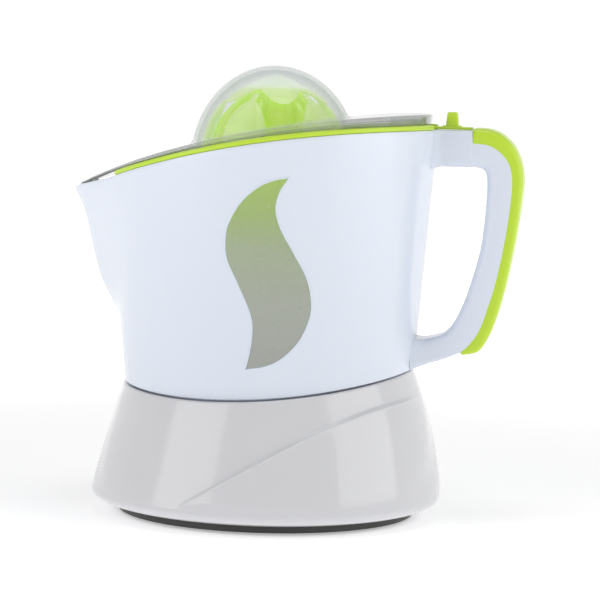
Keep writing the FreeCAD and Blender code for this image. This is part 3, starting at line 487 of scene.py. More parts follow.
# the last colour is painted shade on the cover's outer wall
CLEAR = see_through("clear_cover", (0.985, 0.99, 0.995), linear(206, 211, 220), 0.04, 0.07, 0.85,
                    edge=linear(158, 162, 160))
# the last colour is a painted highlight on the cap's top
MILKY = see_through("milky_cone", linear(250, 254, 236), linear(229, 242, 176), 0.2, 0.36, 0.6, 0.1,
                    0.28, linear(248, 250, 250))


def dress(piece, material, body, *nodes, slot=None):
    piece.data.materials.clear()
    piece.data.materials.append(material)
    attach(piece, body)
    if nodes:
        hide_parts(*nodes)
    return piece


# -------- jug

def jug_radius(height):
    share = (height - JUG_LOW_HEIGHT) / (MOUTH_HEIGHT - JUG_LOW_HEIGHT)
    return JUG_LOW_RADIUS + (JUG_MOUTH_RADIUS - JUG_LOW_RADIUS) * share


def jug_centre(height):
    return -MOUTH_SHIFT * max(height - JUG_LOW_HEIGHT, 0) / (MOUTH_HEIGHT - JUG_LOW_HEIGHT)


spout_reach = smooth_value([(60, 0), (94, 0), (99, 0.9), (104, 3.4), (111, 6.6), (118, 9.1),
                            (130, 11.5), (142, 13.0), (153, 14.7), (159, 17.0), (163, 18.4),
                            (170, 19.0), (205, 19.5)])


def jug_edge(turn, height, inset):
    """The outline's distance from the jug's axis in one direction."""
    body = jug_radius(height)
    reach = spout_reach(height)
    if reach < 0.02:
        return body - inset
    away = abs(math.remainder(turn - math.pi, 2 * math.pi))
    tip_distance = body + reach - TIP_RADIUS
    lean = math.acos(min((body - TIP_RADIUS) / tip_distance, 1.0))
    if away >= lean:
        return body - inset
    tip_turn = math.atan2(TIP_RADIUS * math.sin(lean), tip_distance + TIP_RADIUS * math.cos(lean))
    if away > tip_turn:
        return (body - inset) / math.cos(lean - away)
    tip = TIP_RADIUS - inset
    beside = tip_distance * math.sin(away)
    return tip_distance * math.cos(away) + math.sqrt(max(tip ** 2 - beside ** 2, 0))


def jug_point(turn, height, inset):
    distance = jug_edge(turn, height, inset)
    return (jug_centre(height) + distance * math.cos(turn), distance * math.sin(turn), height)


def on_arc(turn, inset, arc, lift):
    """The point of the jug's outline, drawn in by inset, that lies lift above an arched line."""
    height = arc[2]
    for _ in range(8):
        height = arc_height(arc, jug_point(turn, height, inset)[0]) + lift
    return jug_point(turn, height, inset)


TURNS = [2 * math.pi * index / AROUND for index in range(AROUND)]


def spout_lift(x):
    """How much the mouth's edge rises above its arch towards the spout's tip."""
    return 2.0 * ease(-x, 78, 100)


def jug_shell():
    """The jug's wall, mouth, foot, floor and drive tunnel as one skin."""
    columns = []
    wall_rows, inner_rows = 74, 30
    sleeve = TUNNEL_RADIUS + TUNNEL_WALL
    inside = [(67.8, 79), (67.8, 66), (66.6, 62.4), (63, JUG_FLOOR), (24, JUG_FLOOR),
              (sleeve + 1, JUG_FLOOR + 0.4), (sleeve, JUG_FLOOR + 1.6),
              (sleeve, TUNNEL_TOP - 0.6), (sleeve - 0.6, TUNNEL_TOP),
              (TUNNEL_RADIUS + 0.5, TUNNEL_TOP), (TUNNEL_RADIUS, TUNNEL_TOP - 0.6),
              (TUNNEL_RADIUS, FOOT_LOW + 1), (TUNNEL_RADIUS + 1, FOOT_LOW),
              (FOOT_RADIUS - 1.5, FOOT_LOW), (FOOT_RADIUS, FOOT_LOW + 1.5)]
    for turn in TURNS:
        mouth = on_arc(turn, 0, RIM_ARC, 0)
        rim = mouth[2] + spout_lift(mouth[0])
        edge = jug_radius(SEAM_HEIGHT)
        low = seam_height(edge * math.cos(turn), edge * math.sin(turn)) + 0.45
        column = [polar(FOOT_RADIUS, turn, low - 1.2)]
        column.append(jug_point(turn, low, 1.4))
        column.append(jug_point(turn, low + 0.12, 0.5))
        for row in range(wall_rows):
            share = row / (wall_rows - 1)
            column.append(jug_point(turn, low + 0.6 + (rim - low - 1.3) * share, 0))
        column.append(jug_point(turn, rim - 0.2, 0.25))
        column.append(jug_point(turn, rim, 0.8))
        column.append(jug_point(turn, rim, JUG_WALL - 0.8))
        column.append(jug_point(turn, rim - 0.5, JUG_WALL))
        for row in range(inner_rows):
            share = (row + 1) / inner_rows
            column.append(jug_point(turn, rim - 0.5 + (82 - rim) * share, JUG_WALL))
        column.extend(polar(radius, turn, height) for radius, height in inside)
        columns.append(column)
    return skin("jug_shell", columns, 40)


def window_outline(inset, count):
    """The S of the gauge window, as (x, z) points round its edge."""
    top, foot = (18.7, 175.0), (-1.3, 81.0)
    left = spline([top, (12.1, 173.9), (4.0, 170.2), (-4.6, 162.3), (-10.4, 151.8), (-11.8, 143.1),
                   (-10.8, 134.5), (-5.2, 122.4), (0.6, 109.0), (1.9, 100.7), (0.8, 90.0), foot],
                  count)
    right = spline([foot, (8.0, 82.6), (16.2, 86.7), (24.2, 95.2), (28.9, 105.8), (29.9, 114.5),
                    (27.6, 126.3), (21.0, 139.3), (15.0, 150.5), (12.7, 160.0), (14.6, 168.3), top],
                   count)
    loop = np.vstack([left[:-1], right[:-1]])
    along = np.roll(loop, -1, axis=0) - np.roll(loop, 1, axis=0)
    inward = np.stack([-along[:, 1], along[:, 0]], axis=1)
    inward /= np.linalg.norm(inward, axis=1)[:, None]
    for tip, pull in ((0, (-0.9, -2.6)), (len(left) - 1, (0.9, 1.6))):
        inward[tip] = pull
    return loop + inward * inset


def window_tool(name, inset):
    loop = window_outline(inset, 60)
    rings = [[(x, depth, z) for x, z in loop] for depth in (-100.0, -55.0)]
    rings = capped([np.array(ring) for ring in rings])
    return ring_mesh(name, rings)


def window_bead():
    """The thin polished edge that frames the window on the jug's front."""
    bead_radius = 0.42
    loop = window_outline(-0.15, 90)
    rings = []
    for x, z in loop:
        radius = jug_radius(z)
        away = math.sqrt(radius ** 2 - (x - jug_centre(z)) ** 2)
        rings.append((x, -away, z))
    line = np.array(rings)
    along = np.roll(line, -1, axis=0) - np.roll(line, 1, axis=0)
    sections = []
    for spot, way in zip(line, along):
        out = np.array([spot[0] - jug_centre(spot[2]), spot[1], 0.0])
        out /= np.linalg.norm(out)
        side = np.cross(way, out)
        side /= np.linalg.norm(side)
        turns = np.linspace(0, 2 * math.pi, 8, endpoint=False)
        sections.append([spot + bead_radius * (math.cos(t) * side + 0.8 * math.sin(t) * out)
                         for t in turns])
    return ring_mesh("window_bead", sections, looped=True)


GRIP_OUTER = [(101.4, 199.5), (105.5, 199.5), (110.5, 198.9), (116.3, 196.4), (122.2, 190.6),
              (125.7, 183), (127.1, 175), (126.8, 166), (125.4, 153), (123, 137), (120, 121),
              (117, 108.5), (113.8, 98.5), (110.7, 91.6), (107.2, 87.3), (102, 85.8), (98.7, 85.6)]
GRIP_SEAM = [(101.4, 191.9), (105, 191.8), (109.2, 191.2), (113.8, 189.0), (118.2, 184.9),
             (120.8, 179.6), (121.7, 173), (121.4, 164.5), (120.2, 152.5), (118.0, 137.5),
             (114.7, 121), (111.5, 109.5), (108.6, 100.5), (105.9, 95), (103.6, 91.8),
             (101.3, 89.2), (98.7, 86.9)]
FINGER_SIDE = [(101.4, 180.1), (103, 180.0), (104.6, 179.8), (106.9, 179.0), (108.3, 177.3),
               (108.9, 174.6), (109.1, 170), (108.9, 162), (108.2, 151), (106.5, 137.5),
               (102.8, 123), (99.7, 113), (96.5, 105.3), (93.8, 100.5), (91.2, 97.3), (88.5, 95.2),
               (85.3, 94)]


def bar_section(inner, outer, half_width, inner_round, outer_round):
    """A rounded rectangle from the inner to the outer line of a bar, across Y."""
    inner = np.array([inner[0], 0, inner[1]])
    outer = np.array([outer[0], 0, outer[1]])
    way = outer - inner
    depth = np.linalg.norm(way)
    way = way / depth
    across = np.array([0.0, 1.0, 0.0])
    corners = [(outer_round, 1, 1), (outer_round, 1, -1), (inner_round, 0, -1), (inner_round, 0, 1)]
    points = []
    for index, (radius, far, side) in enumerate(corners):
        radius = min(radius, depth * 0.48)
        start = (0, -0.5, -1.0, -1.5)[index] * math.pi + math.pi / 2
        centre = inner + way * (depth - radius if far else radius)
        centre = centre + across * side * (half_width - radius)
        for step in range(7):
            turn = start - step / 6 * math.pi / 2
            points.append(centre + radius * (math.cos(turn) * way + math.sin(turn) * across))
    return points


HANDLE_HALF_WIDTH = 12.0


def handle_core():
    """The white loop: a level arm out from the mouth, the upright and the lower arm."""
    width = HANDLE_HALF_WIDTH
    sections = []
    for x in np.linspace(80.3, 101.2, 16):
        flare = 1.8 * (1 - ease(x, 80, 88)) ** 2
        sections.append(bar_section((x, 179.9 - flare), (x, 198.15), width + flare, 3.5, 1.2))
    seam = spline(GRIP_SEAM, 90)
    finger = spline(FINGER_SIDE, 90)
    for inner, outer in zip(finger, seam):
        way = (outer - inner) / np.linalg.norm(outer - inner)
        sections.append(bar_section(inner, outer + way * 0.25, width - 0.06, 4.2, 0.4))
    tail_inner = spline([(85.3, 94), (82.2, 93.2), (78.5, 92.6), (73.3, 92.9)], 16)[1:]
    tail_outer = spline([(98.7, 86.8), (90.5, 83.2), (82.4, 80.4), (73.3, 76.9)], 16)[1:]
    for step, (inner, outer) in enumerate(zip(tail_inner, tail_outer)):
        flare = 1.6 * (step / 14) ** 3
        sections.append(bar_section(inner, outer, width + flare, 4.2, 0.5 + 3 * step / 14))
    return ring_mesh("handle_core", capped(np.array(sections)), sharp=50)


def make_handle_grip():
    """The lime cover along the outside of the handle."""
    seam = spline(GRIP_SEAM, 110)
    outer = spline(GRIP_OUTER, 110)
    sections = []
    for index, (inner, far) in enumerate(zip(seam, outer)):
        way = (far - inner) / np.linalg.norm(far - inner)
        end = min(index, len(seam) - 1 - index)
        tuck = 0.5 * max(0, 1 - end / 2) ** 2
        sections.append(bar_section(inner, far - way * tuck, HANDLE_HALF_WIDTH - tuck, 0.3, 5.6))
    grip = ring_mesh("handle_grip_cover", capped(np.array(sections)), sharp=50)
    dress(grip, LIME, "jug", "handle_grip", slot="lime_plastic")


def make_jug():
    shell = jug_shell()
    opening = window_tool("window_opening", 0.0)
    insert_tool = window_tool("window_insert", 0.28)
    window = shell.copy()
    window.data = shell.data.copy()
    window.name = "gauge_window"
    bpy.context.scene.collection.objects.link(window)
    shell = carve(shell, opening, "DIFFERENCE", 40)
    window = carve(window, insert_tool, "INTERSECT", 40)
    window.name = "gauge_window"
    for tool in (opening, insert_tool):
        bpy.data.objects.remove(tool)
    jug = joined("white_jug", [shell, handle_core(), window_bead()], 40)
    dress(jug, WHITE, "jug", "jug_body", slot="white_plastic")
    dress(window, WINDOW, "jug", "level_window", slot="window_plastic")


# -------- base

side_left = smooth_value([(SKIRT_HEIGHT, SKIRT_RADIUS), (5.6, 81.5), (7.3, 86.5), (9.6, 89.0),
                          (11.6, 89.3), (17.7, 88.1), (30.4, 84.6), (43.2, 80.8), (55.8, 77.1),
                          (66.0, 74.0), (74, 73.2), (80, 73.2)])
side_right = smooth_value([(SKIRT_HEIGHT, SKIRT_RADIUS), (5.6, 81.5), (7.3, 86.5), (9.6, 88.8),
                           (12.5, 89.3), (19.7, 88.9), (32.0, 87.0), (44.2, 84.4), (56.4, 81.0),
                           (68.6, 76.6), (76.5, 73.6), (80, 73.4)])
crease_line = smooth_value([(-122, 4), (-114.5, 10), (-104.6, 19.7), (-88, 34.8), (-68, 50),
                            (-43, 60.9), (-13, 64.3), (10, 62)])


CREASE_SPAN = (-122, 10)


def crease_height(degrees):
    return crease_line(min(max(degrees, CREASE_SPAN[0]), CREASE_SPAN[1]))


def base_edge(turn, height):
    """The base's radius: straight on the spout side, fuller on the handle side, with a
    slanting ledge across the front under which the skin stands proud."""
    right = 0.5 + 0.5 * math.cos(turn)
    radius = side_left(height) * (1 - right) + side_right(height) * right
    degrees = math.degrees(math.remainder(turn, 2 * math.pi))
    crease = crease_height(degrees)
    shown = ease(degrees, -119, -96) * (1 - ease(degrees, -40, 4))
    below = crease - height
    lower = ease(below, -0.9, 1.1)
    fade = math.exp(-max(below, 0) / 34) * ease(height, 6, 14)
    ridge = math.exp(-((below - 0.9) / 0.55) ** 2)
    above = 0.2 * (1 - lower) * math.exp(below / 20)
    return radius + shown * (1.1 * lower * fade + 0.28 * ridge - above)


def make_base():
    """The drive base and its tower as one skin, with rows of points close to the ledge."""
    columns = []
    side_rows, ledge_rows = 46, 25
    skirt = [SKIRT_HEIGHT, 4.85, 5.1, 5.6, 6.4, 7.3, 8.4, 9.6, 11.0]
    for turn in TURNS:
        top = seam_height(SEAM_RADIUS * math.cos(turn), SEAM_RADIUS * math.sin(turn)) - 0.15
        column = []
        degrees = math.degrees(math.remainder(turn, 2 * math.pi))
        ledge = crease_height(degrees)
        ledge = min(max(ledge + (14 - ledge) * ease(degrees, 10, 170), 15), top - 4)
        heights = [*skirt, *np.linspace(12.2, ledge - 2, side_rows),
                   *np.linspace(ledge - 1.8, ledge + 1.8, ledge_rows),
                   *np.linspace(ledge + 2, top - 0.8, side_rows)]
        for height in heights:
            radius = min(base_edge(turn, height), BASE_RADIUS)
            column.append(polar(radius, turn, height))
        rim = base_edge(turn, top - 0.8)
        for inset, height in ((0.25, top - 0.25), (0.9, top), (2.2, top)):
            column.append(polar(rim - inset, turn, height))
        profile = [(70.5, top - 0.6), (70.5, DECK_HEIGHT + 1), (69.6, DECK_HEIGHT),
                   (19, DECK_HEIGHT), (17.3, DECK_HEIGHT + 0.6), (16.9, DECK_HEIGHT + 2.5),
                   (15.5, TOWER_TOP - 1.2), (15.0, TOWER_TOP - 0.2), (14.2, TOWER_TOP),
                   (7.2, TOWER_TOP), (6.6, TOWER_TOP - 0.5), (6.55, 136), (8.5, 136), (12.8, 135.5),
                   (14.4, 55.5), (69.5, 55.5), (76.2, 54), (80.6, 41), (86.6, 12), (84.5, 8.5),
                   (74.6, SKIRT_HEIGHT)]
        for radius, height in profile:
            column.append(polar(radius, turn, height))
        columns.append(column)
    shell = skin("base_shell", columns, 50)
    dress(shell, BASE_GREY, "base", "base_housing", slot="base_plastic")


# -------- strainer and lever

SIEVE_SLOTS = 24
FLOOR_LIFT, FLOOR_THICKNESS = 1.4, 1.6
SPOUT_RIM_RADIUS = 79.3


def slot_cutter(name, half_width, level):
    """Blocks in a circle that cut the slots of a floor at one level."""
    slot = block(f"{name}_slot", (28, -half_width, level - 3), (58, half_width, level + 5), 0.3)
    return repeated(slot, f"{name}_slots", SIEVE_SLOTS, 0, 360)


def make_strainer():
    """A lime rim along the jug's mouth, a bowl and a raised collar over the tunnel."""
    columns = []
    floor = BASKET_LOW[2] + FLOOR_LIFT
    floor_top = floor + FLOOR_THICKNESS
    bowl = [(68.6, 153), (67, 149), (64, 146), (59, floor_top), (23.2, floor_top),
            (22.6, floor + 3), (22.6, 156.2), (21.4, 157.5), (8.3, 157.5), (7.9, 156.6),
            (8.4, 155.7), (20.8, 155.6), (20.8, floor), (59.4, floor), (65.2, 144.6),
            (68.6, 148), (70.4, 152.6)]
    for turn in TURNS:
        outline = on_arc(turn, 0, RIM_ARC, LIME_LOW)
        spout_side = ease(-outline[0], 74.5, 77.0)
        reach = math.hypot(outline[0], outline[1])
        way = (outline[0] / reach, outline[1] / reach)
        reach += (SPOUT_RIM_RADIUS - reach) * spout_side
        low = arc_height(RIM_ARC, way[0] * reach) + LIME_LOW
        high = arc_height(RIM_ARC, way[0] * reach) + LIME_HIGH
        rim = [(0.25, low), (0, low + 0.25), (0, high - 0.55), (0.25, high - 0.12), (0.8, high)]
        column = [(way[0] * (reach - inset), way[1] * (reach - inset), height)
                  for inset, height in rim]
        profile = [(77.3, high), (76.8, high - 0.6), *bowl, (78.4, low - 0.6), (78.6, low)]
        column.extend(polar(radius, turn, height) for radius, height in profile)
        columns.append(column)
    basket = skin("lime_strainer", columns, 50)
    slots = slot_cutter("sieve", 1.3, floor)
    notch = block("lever_notch", (68, -12.5, 190), (110, 12.5, 215), 0.3)
    cutter = joined("strainer_cutter", [slots, notch])
    basket = carve(basket, cutter, "DIFFERENCE", 50)
    bpy.data.objects.remove(cutter)
    dress(basket, LIME, "strainer", "strainer_basket", slot="lime_plastic")


def make_lever():
    """The slotted ring on the strainer's floor, its arm up the bowl and its post."""
    low = LEVER_LOW[2]
    ring = turned("lever_ring", [(23.2, low + 0.2), (23.4, low), (60, low), (60.3, low + 0.3),
                                 (60.3, low + 1.3), (60, low + 1.6), (23.4, low + 1.6),
                                 (23.2, low + 1.4)], 144)
    slots = slot_cutter("ring", 1.9, low)
    ring = carve(ring, slots, "DIFFERENCE", 50)
    bpy.data.objects.remove(slots)
    inner = spline([(55.5, low + 1.4), (60, low + 1.5), (64.2, 151.5), (66.2, 158), (70.6, 185),
                    (72.4, 196.6), (74.2, 199.4), (80, 199.8), (100.6, 199.8)], 60)
    outer = spline([(55.5, low + 0.1), (61.5, low + 0.1), (66.0, 150.6), (67.8, 157.5),
                    (72.4, 184.8), (74.0, 196.0), (75.8, 198.4), (80.4, 198.5), (100.6, 198.45)],
                   60)
    arm = ring_mesh("lever_arm", capped(np.array([bar_section(a, b, 3.5, 0.5, 0.4)
                                                  for a, b in zip(inner, outer)])), sharp=50)
    post_x = 90.2
    post = block("lever_post", (post_x - 3.3, -3.4, 199.2), (post_x + 3.3, 3.4, LEVER_HIGH[2]), 0.9,
                 0.8)
    foot = block("lever_foot", (post_x - 5.2, -3.5, 199.4), (post_x + 5.2, 3.5, 200.5), 0.4, 0.6)
    dress(joined("pulp_lever", [ring, arm, post, foot], 50), LIME, "pulp_lever", "pulp_selector",
          slot="lime_plastic")


# -------- cones

small_side = smooth_value([(163.2, 35.2), (172, 34.8), (182, 34.0), (190, 32.6), (197, 30.2),
                           (203, 26.8), (208, 22.6), (212, 17.6), (215, 12.2), (217.2, 6.2),
                           (218.3, 1.6), (218.5, 0.0)])
large_side = smooth_value([(163.5, 38.2), (172, 37.9), (182, 37.3), (190, 36.2), (197, 34.2),
                           (203, 31.4), (208, 28.0), (212, 24.0), (216, 18.2), (219, 12.6),
                           (221.5, 7.4), (223.2, 2.6), (223.8, 0.0)])


def make_small_cone():
    """Ten blunt ribs that run from the skirt up to a point."""
    ribs, rib_depth, steps = 10, 0.155, 55
    bore = (4.02, 192.6)
    skirt = SMALL_LOW[2] + 3
    profile = [(0, bore[1]), bore, (bore[0], 158.2), (7, 158.2), (7, 204), (24, 190), (29, 163),
               (29.5, skirt), (42.4, skirt), (42.9, skirt + 0.5), (42.9, skirt + 1.6),
               (42.3, skirt + 2.1), (36.6, skirt + 2.3)]
    rings = [level_ring(radius, height) for radius, height in profile]
    for step in range(steps + 1):
        climb = 1 - math.sin(step / steps * math.pi / 2)
        height = SMALL_HIGH[2] - (SMALL_HIGH[2] - 163.6) * climb
        side = small_side(height)
        ring = []
        for turn in TURNS:
            ridge = abs(math.cos(ribs * turn / 2 + 0.35)) ** 0.7
            depth = rib_depth * ease(side, 1.0, 14)
            radius = side * (1 - depth * (1 - ridge))
            ring.append(polar(radius, turn, height))
        rings.append(np.array(ring))
    rings.append(level_ring(0, SMALL_HIGH[2]))
    cone = ring_mesh("lime_cone", rings, sharp=50)
    dress(cone, LIME_DEEP, "small_cone", "small_cone", slot="lime_plastic")


PETALS = 5
PETAL_TURN = math.radians(-110)


def petal(index):
    """An oval scoop with a raised rim that lies on the cone's side."""
    middle = PETAL_TURN + 2 * math.pi * index / PETALS
    half_width, half_height, centre = 11.2, 13.2, 197.5
    rows, columns = 18, 64
    outer, inner = [], []
    for row in range(rows + 1):
        share = row / rows
        ring_out, ring_in = [], []
        for column in range(columns):
            way = 2 * math.pi * column / columns
            across = half_width * share * math.cos(way) * (1 - 0.18 * math.sin(way))
            height = centre + half_height * share * math.sin(way)
            side = large_side(height)
            turn = middle + across / 33
            rim = math.exp(-((share - 0.86) / 0.1) ** 2)
            swell = 1.1 * (1 - share ** 2) + 0.9 * rim
            near = side - 0.4 + swell
            for ring, radius in ((ring_out, near), (ring_in, near - 1.5 + 0.7 * share ** 8)):
                ring.append(polar(radius, turn, height))
        outer.append(ring_out)
        inner.append(ring_in)
    return ring_mesh(f"petal_{index}", outer + inner[::-1], sharp=60)


def make_large_cone():
    """A milky cap with a scalloped hem, five scoops and ribs down to a foot ring."""
    hem_lobes = math.pi / PETALS
    outer, inner = [], []
    for step in range(30):
        share = math.sin(step / 29 * math.pi / 2)
        ring_out, ring_in = [], []
        for turn in TURNS:
            hem = 212.6 - 3.4 * math.cos(PETALS * (turn - PETAL_TURN - hem_lobes))
            fall = (1 - math.sqrt(max(1 - share ** 2, 0))) ** 0.9
            height = LARGE_HIGH[2] + (hem - LARGE_HIGH[2]) * fall
            radius = large_side(height)
            lip = 0.5 * math.exp(-((share - 0.97) / 0.03) ** 2)
            ring_out.append(polar(radius + lip, turn, height))
            under = max(radius - 1.6, 0)
            ring_in.append(polar(under, turn, height - 1.3 * (1 - share)))
        outer.append(ring_out)
        if step == 0 or min(math.hypot(x, y) for x, y, _ in ring_in) > 0.05:
            inner.append(ring_in)
    cap = ring_mesh("cap", outer + inner[::-1], sharp=60)
    foot = turned("foot_ring", [(36.4, 163.7), (38.0, 163.6), (38.3, 164.0), (38.2, 168.4),
                                (37.6, 169.2), (36.6, 169.0), (36.3, 168)], 144)
    struts = []
    for index in range(PETALS):
        middle = PETAL_TURN + 2 * math.pi * index / PETALS
        sections = []
        for height in np.linspace(166, 214, 26):
            side = large_side(height) - 0.4
            half = 1.5 / side
            back = side - 1.5
            spots = [(side, -half), (side + 0.3, 0), (side, half), (back, half), (back, -half)]
            sections.append([polar(r, middle + t, height) for r, t in spots])
        struts.append(ring_mesh(f"strut_{index}", capped(np.array(sections)), sharp=60))
    petals = [petal(index) for index in range(PETALS)]
    whole = joined("milky_cone", [cap, foot] + struts + petals, 60)
    dress(whole, MILKY, "large_cone", "large_cone", slot="pale_plastic")


# -------- cover

def dome_height(distance, radius, rise):
    return DOME_CENTRE + rise * math.sqrt(max(1 - (distance / radius) ** 2, 0))


def dome_foot(direction, radius, rise, drop):
    """How far out the dome meets the sloping sheet in one direction."""
    low, high = radius * 0.5, radius * 0.9999
    for _ in range(40):
        middle = (low + high) / 2
        sheet = arc_height(COVER_ARC, middle * direction[0]) - drop
        if dome_height(middle, radius, rise) > sheet:
            low = middle
        else:
            high = middle
    return (low + high) / 2


def cover_column(turn):
    edge_out = on_arc(turn, COVER_INSET, COVER_ARC, 0)
    rim = on_arc(turn, COVER_INSET, RIM_ARC, LIME_HIGH + 0.3)
    top = edge_out[2]
    direction = np.array(edge_out[:2]) / np.linalg.norm(edge_out[:2])
    corner = 1.6
    column = [jug_point(turn, rim[2] + 0.25, COVER_INSET),
              jug_point(turn, top - corner, COVER_INSET)]
    for step in range(1, 6):
        bend = step / 5 * math.pi / 2
        spot = jug_point(turn, top, COVER_INSET + corner * (1 - math.cos(bend)))
        column.append((spot[0], spot[1], top - corner * (1 - math.sin(bend))))
    foot = dome_foot(direction, DOME_RADIUS, DOME_HEIGHT, 0)
    start = np.array(column[-1][:2])
    finish = direction * (foot + 1.6)
    for share in np.linspace(0, 1, 16)[1:]:
        spot = start + (finish - start) * share
        lift = 0.0 if share < 1 else 0.25
        column.append((spot[0], spot[1], arc_height(COVER_ARC, spot[0]) + lift))
    for share in np.linspace(0, 1, 34):
        distance = (foot - 0.6) * math.cos(share * math.pi / 2)
        column.append((*(direction * distance), dome_height(distance, DOME_RADIUS, DOME_HEIGHT)))
    inner_radius, inner_rise = DOME_RADIUS - COVER_WALL, DOME_HEIGHT - COVER_WALL
    inner_foot = dome_foot(direction, inner_radius, inner_rise, COVER_WALL)
    for share in np.linspace(1, 0, 28):
        distance = inner_foot * math.cos(share * math.pi / 2)
        column.append((*(direction * distance), dome_height(distance, inner_radius, inner_rise)))
    under = np.array(jug_point(turn, top, COVER_INSET + COVER_WALL)[:2])
    start = direction * inner_foot
    for share in np.linspace(0, 1, 10)[1:]:
        spot = start + (under - start) * share
        column.append((spot[0], spot[1], arc_height(COVER_ARC, spot[0]) - COVER_WALL))
    column.append(jug_point(turn, rim[2] + 0.25, COVER_INSET + COVER_WALL))
    column.append(jug_point(turn, rim[2], COVER_INSET + COVER_WALL - 0.3))
    column.append(jug_point(turn, rim[2], COVER_INSET + 0.3))
    return column


def make_cover():
    cover = skin("clear_cover", map(cover_column, TURNS), 40)
    dress(cover, CLEAR, "cover", "dust_cover", slot="clear_plastic")


# -------- what repeats

class Growth:
    """A Geometry Nodes tree with a named input for each of its sizes."""

    def __init__(self, name, sizes):
        self.tree = bpy.data.node_groups.new(name, "GeometryNodeTree")
        self.interface("Geometry", "INPUT", "NodeSocketGeometry")
        self.sizes = {}
        for label, value in sizes.items():
            kind = "NodeSocketInt" if isinstance(value, int) else "NodeSocketFloat"
            self.sizes[self.interface(label, "INPUT", kind)] = value
        self.interface("Geometry", "OUTPUT", "NodeSocketGeometry")
        self.given = self.tree.nodes.new("NodeGroupInput").outputs

    def interface(self, label, side, kind):
        return self.tree.interface.new_socket(label, in_out=side, socket_type=kind).identifier

    def node(self, kind, values, **settings):
        made = self.tree.nodes.new(kind)
        for setting, value in settings.items():
            setattr(made, setting, value)
        for socket, value in values.items():
            if isinstance(value, bpy.types.NodeSocket):
                self.tree.links.new(value, made.inputs[socket])
            else:
                made.inputs[socket].default_value = value
        return made.outputs[0]

    def grow(self, item, geometry, material):
        real = self.node("GeometryNodeRealizeInstances", {"Geometry": geometry})
        painted = self.node("GeometryNodeSetMaterial", {"Geometry": real, "Material": material})
        result = self.tree.nodes.new("NodeGroupOutput")
        self.tree.links.new(painted, result.inputs[0])
        step = item.modifiers.new("growth", "NODES")
        step.node_group = self.tree
        for identifier, value in self.sizes.items():
            step[identifier] = value
        return baked(item, 50)


def repeated(item, name, count, radius, sweep):
    """Copies of an item round the drive axis."""
    growth = Growth(name, {"Count": count, "Sweep": math.radians(sweep), "Radius": radius * MM})
    given = growth.given
    points = growth.node("GeometryNodeMeshLine", {"Count": given["Count"], "Offset": (0, 0, 0)})
    number = growth.node("GeometryNodeInputIndex", {})
    share = growth.node("ShaderNodeMath", {0: number, 1: given["Count"]}, operation="DIVIDE")
    turn = growth.node("ShaderNodeMath", {0: share, 1: given["Sweep"]}, operation="MULTIPLY")
    spin = growth.node("ShaderNodeCombineXYZ", {"Z": turn})
    out = growth.node("ShaderNodeCombineXYZ", {"X": given["Radius"]})
    shift = growth.node("ShaderNodeVectorRotate", {"Vector": out, "Angle": turn},
                        rotation_type="Z_AXIS")
    moved = growth.node("GeometryNodeSetPosition", {"Geometry": points, "Offset": shift})
    copies = growth.node("GeometryNodeInstanceOnPoints", {
        "Points": moved, "Instance": given["Geometry"], "Rotation": spin})
    item.name = name
    return growth.grow(item, copies, DARK)


def make_spring():
    """The return spring as one coil of wire with closed ends."""
    wire = 0.55
    growth = Growth("spring_coil", {"Turns": 8.5, "Radius": (SPRING_HIGH[0] - wire) * MM,
                                    "Wire": wire * MM, "Foot": (SPRING_LOW[2] + wire) * MM,
                                    "Rise": (SPRING_HIGH[2] - SPRING_LOW[2] - 2 * wire) * MM})
    given = growth.given
    spiral = growth.node("GeometryNodeCurveSpiral", {
        "Resolution": 40, "Rotations": given["Turns"], "Start Radius": given["Radius"],
        "End Radius": given["Radius"], "Height": given["Rise"]})
    foot = growth.node("ShaderNodeCombineXYZ", {"Z": given["Foot"]})
    raised = growth.node("GeometryNodeSetPosition", {"Geometry": spiral, "Offset": foot})
    section = growth.node("GeometryNodeCurvePrimitiveCircle",
                          {"Resolution": 12, "Radius": given["Wire"]})
    coil = growth.node("GeometryNodeCurveToMesh", {"Curve": raised, "Profile Curve": section,
                                                   "Fill Caps": True})
    start = placed("return_spring_coil", bpy.data.meshes.new("return_spring_coil"))
    spring = growth.grow(start, coil, STEEL)
    dress(spring, STEEL, "base", "return_spring", slot="steel")
    length = (SPRING_HIGH[2] - SPRING_LOW[2]) * MM
    travel = 0.0025
    1 - travel / length
    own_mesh(spring)


def make_plate_ring():
    """A thin dark bead that finishes the bottom plate's edge under the skirt."""
    edge = PLATE_HIGH[0] - 0.6
    bead = turned("plate_bead", [(edge - 2.4, 1.3), (edge - 0.4, 1.25), (edge + 0.3, 1.9),
                                 (edge + 0.5, 3.0), (edge + 0.3, 4.3), (edge - 1, 4.5),
                                 (edge - 2.4, 4.4)], AROUND)
    dress(bead, DARK, "base", slot="dark_plastic")


CARRIED = {"base_plate": DARK, "rubber_feet": RUBBER, "base_screws": STEEL, "cord_grommet": RUBBER,
           "terminal_block": NYLON, "gearbox_frame": BLACK, "gearbox_cover": BLACK,
           "gearbox_screws": STEEL, "idler_pin": STEEL, "lower_bush": BRONZE, "upper_bush": BRONZE,
           "shaft_seal": RUBBER, "motor_stator": IRON, "motor_coils": COPPER,
           "motor_bracket": STEEL, "microswitch_body": BLACK, "motor_rotor": IRON,
           "motor_shaft": STEEL, "motor_pinion": NYLON, "idler_gear": NYLON,
           "spring_plunger": NYLON, "drive_spindle": STEEL, "output_gear": NYLON,
           "switch_button": RED, }


def dress_carried_nodes():
    for node, material in CARRIED.items():
        for piece in bpy.data.objects:
            if piece.type == "MESH" and piece.name.split(".")[0] == node:
                for slot in piece.material_slots:
                    slot.material = material


# -------- studio

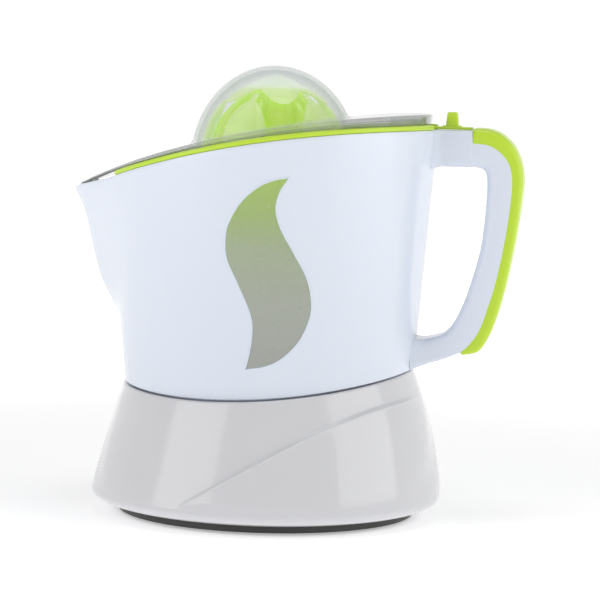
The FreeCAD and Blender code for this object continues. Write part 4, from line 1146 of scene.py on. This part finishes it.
def make_camera():
    place = Vector((194.8, -1386.4, 235.0)) * MM
    target = Vector((14.75, 2.07, 109.0)) * MM
    lean = math.radians(1.52)
    ahead = (target - place).normalized()
    right = ahead.cross(Vector((0, 0, 1))).normalized()
    up = right.cross(ahead)
    across = right * math.cos(lean) + up * math.sin(lean)
    upright = up * math.cos(lean) - right * math.sin(lean)
    camera = placed("camera", bpy.data.cameras.new("camera"))
    camera.data.lens = 164.9
    camera.data.sensor_width = 36
    turn = Matrix((across, upright, -ahead)).transposed().to_4x4()
    camera.matrix_world = Matrix.Translation(place) @ turn
    bpy.context.scene.camera = camera


def soft_box(name, place, aim, width, height, power, tint=(1, 1, 1)):
    lamp = bpy.data.lights.new(name, "AREA")
    lamp.shape = "RECTANGLE"
    lamp.size, lamp.size_y = width, height
    lamp.energy = power
    lamp.color = tint
    holder = placed(name, lamp)
    holder.location = place
    holder.rotation_euler = (Vector(aim) - Vector(place)).to_track_quat("-Z", "Y").to_euler()


BACKDROP_STRENGTH, FILL_STRENGTH = 1.02, 0.30


def make_studio():
    finish = Finish("studio_floor")
    finish.set(Base_Color=finish.blend(finish.noise(2), (0.93, 0.93, 0.93), (0.95, 0.95, 0.95)),
               Roughness=0.8)
    # painted shade on the floor: its glow is dimmer near the product and brighter further off, and
    # the glowing floor also lights the product from below
    away = finish.node("ShaderNodeVectorMath", {"operation": "LENGTH"}, {0: finish.place}, "Value")
    far = finish.climb(away, 0.2, 1.0)
    finish.set(Emission_Color=finish.blend(far, (0.40, 0.40, 0.40), (0.8, 0.8, 0.8)),
               Emission_Strength=1.0, Specular_IOR_Level=0.1)
    mesh = bpy.data.meshes.new("studio_floor")
    reach = 6.0
    mesh.from_pydata([(-reach, -reach, 0), (reach, -reach, 0), (reach, reach, 0),
                      (-reach, reach, 0)], [], [(0, 1, 2, 3)])
    floor = placed("studio_floor", mesh)
    floor.data.materials.append(finish.material)
    world = bpy.data.worlds.new("studio")
    world.use_nodes = True
    background = world.node_tree.nodes["Background"]
    background.inputs["Color"].default_value = (1.0, 1.0, 1.0, 1)
    path = world.node_tree.nodes.new("ShaderNodeLightPath")
    dim = world.node_tree.nodes.new("ShaderNodeMapRange")
    dim.inputs["To Min"].default_value = BACKDROP_STRENGTH
    dim.inputs["To Max"].default_value = FILL_STRENGTH
    world.node_tree.links.new(path.outputs["Is Diffuse Ray"], dim.inputs["Value"])
    world.node_tree.links.new(dim.outputs["Result"], background.inputs["Strength"])
    bpy.context.scene.world = world
    soft_box("left_box", (-0.93, -0.83, 0.42), (0, 0, 0.1), 0.95, 1.0, 4.6)
    soft_box("right_box", (1.1, -0.25, 0.42), (0, 0, 0.1), 1.0, 1.0, 4.4)
    soft_box("top_box", (0.05, -0.15, 1.3), (0, 0, 0.1), 0.6, 0.5, 2.8)
    bpy.context.scene.view_settings.view_transform = "Standard"


make_camera()
make_studio()
make_base()
make_jug()
make_handle_grip()
make_strainer()
make_lever()
make_small_cone()
make_large_cone()
make_cover()
make_spring()
make_plate_ring()
dress_carried_nodes()
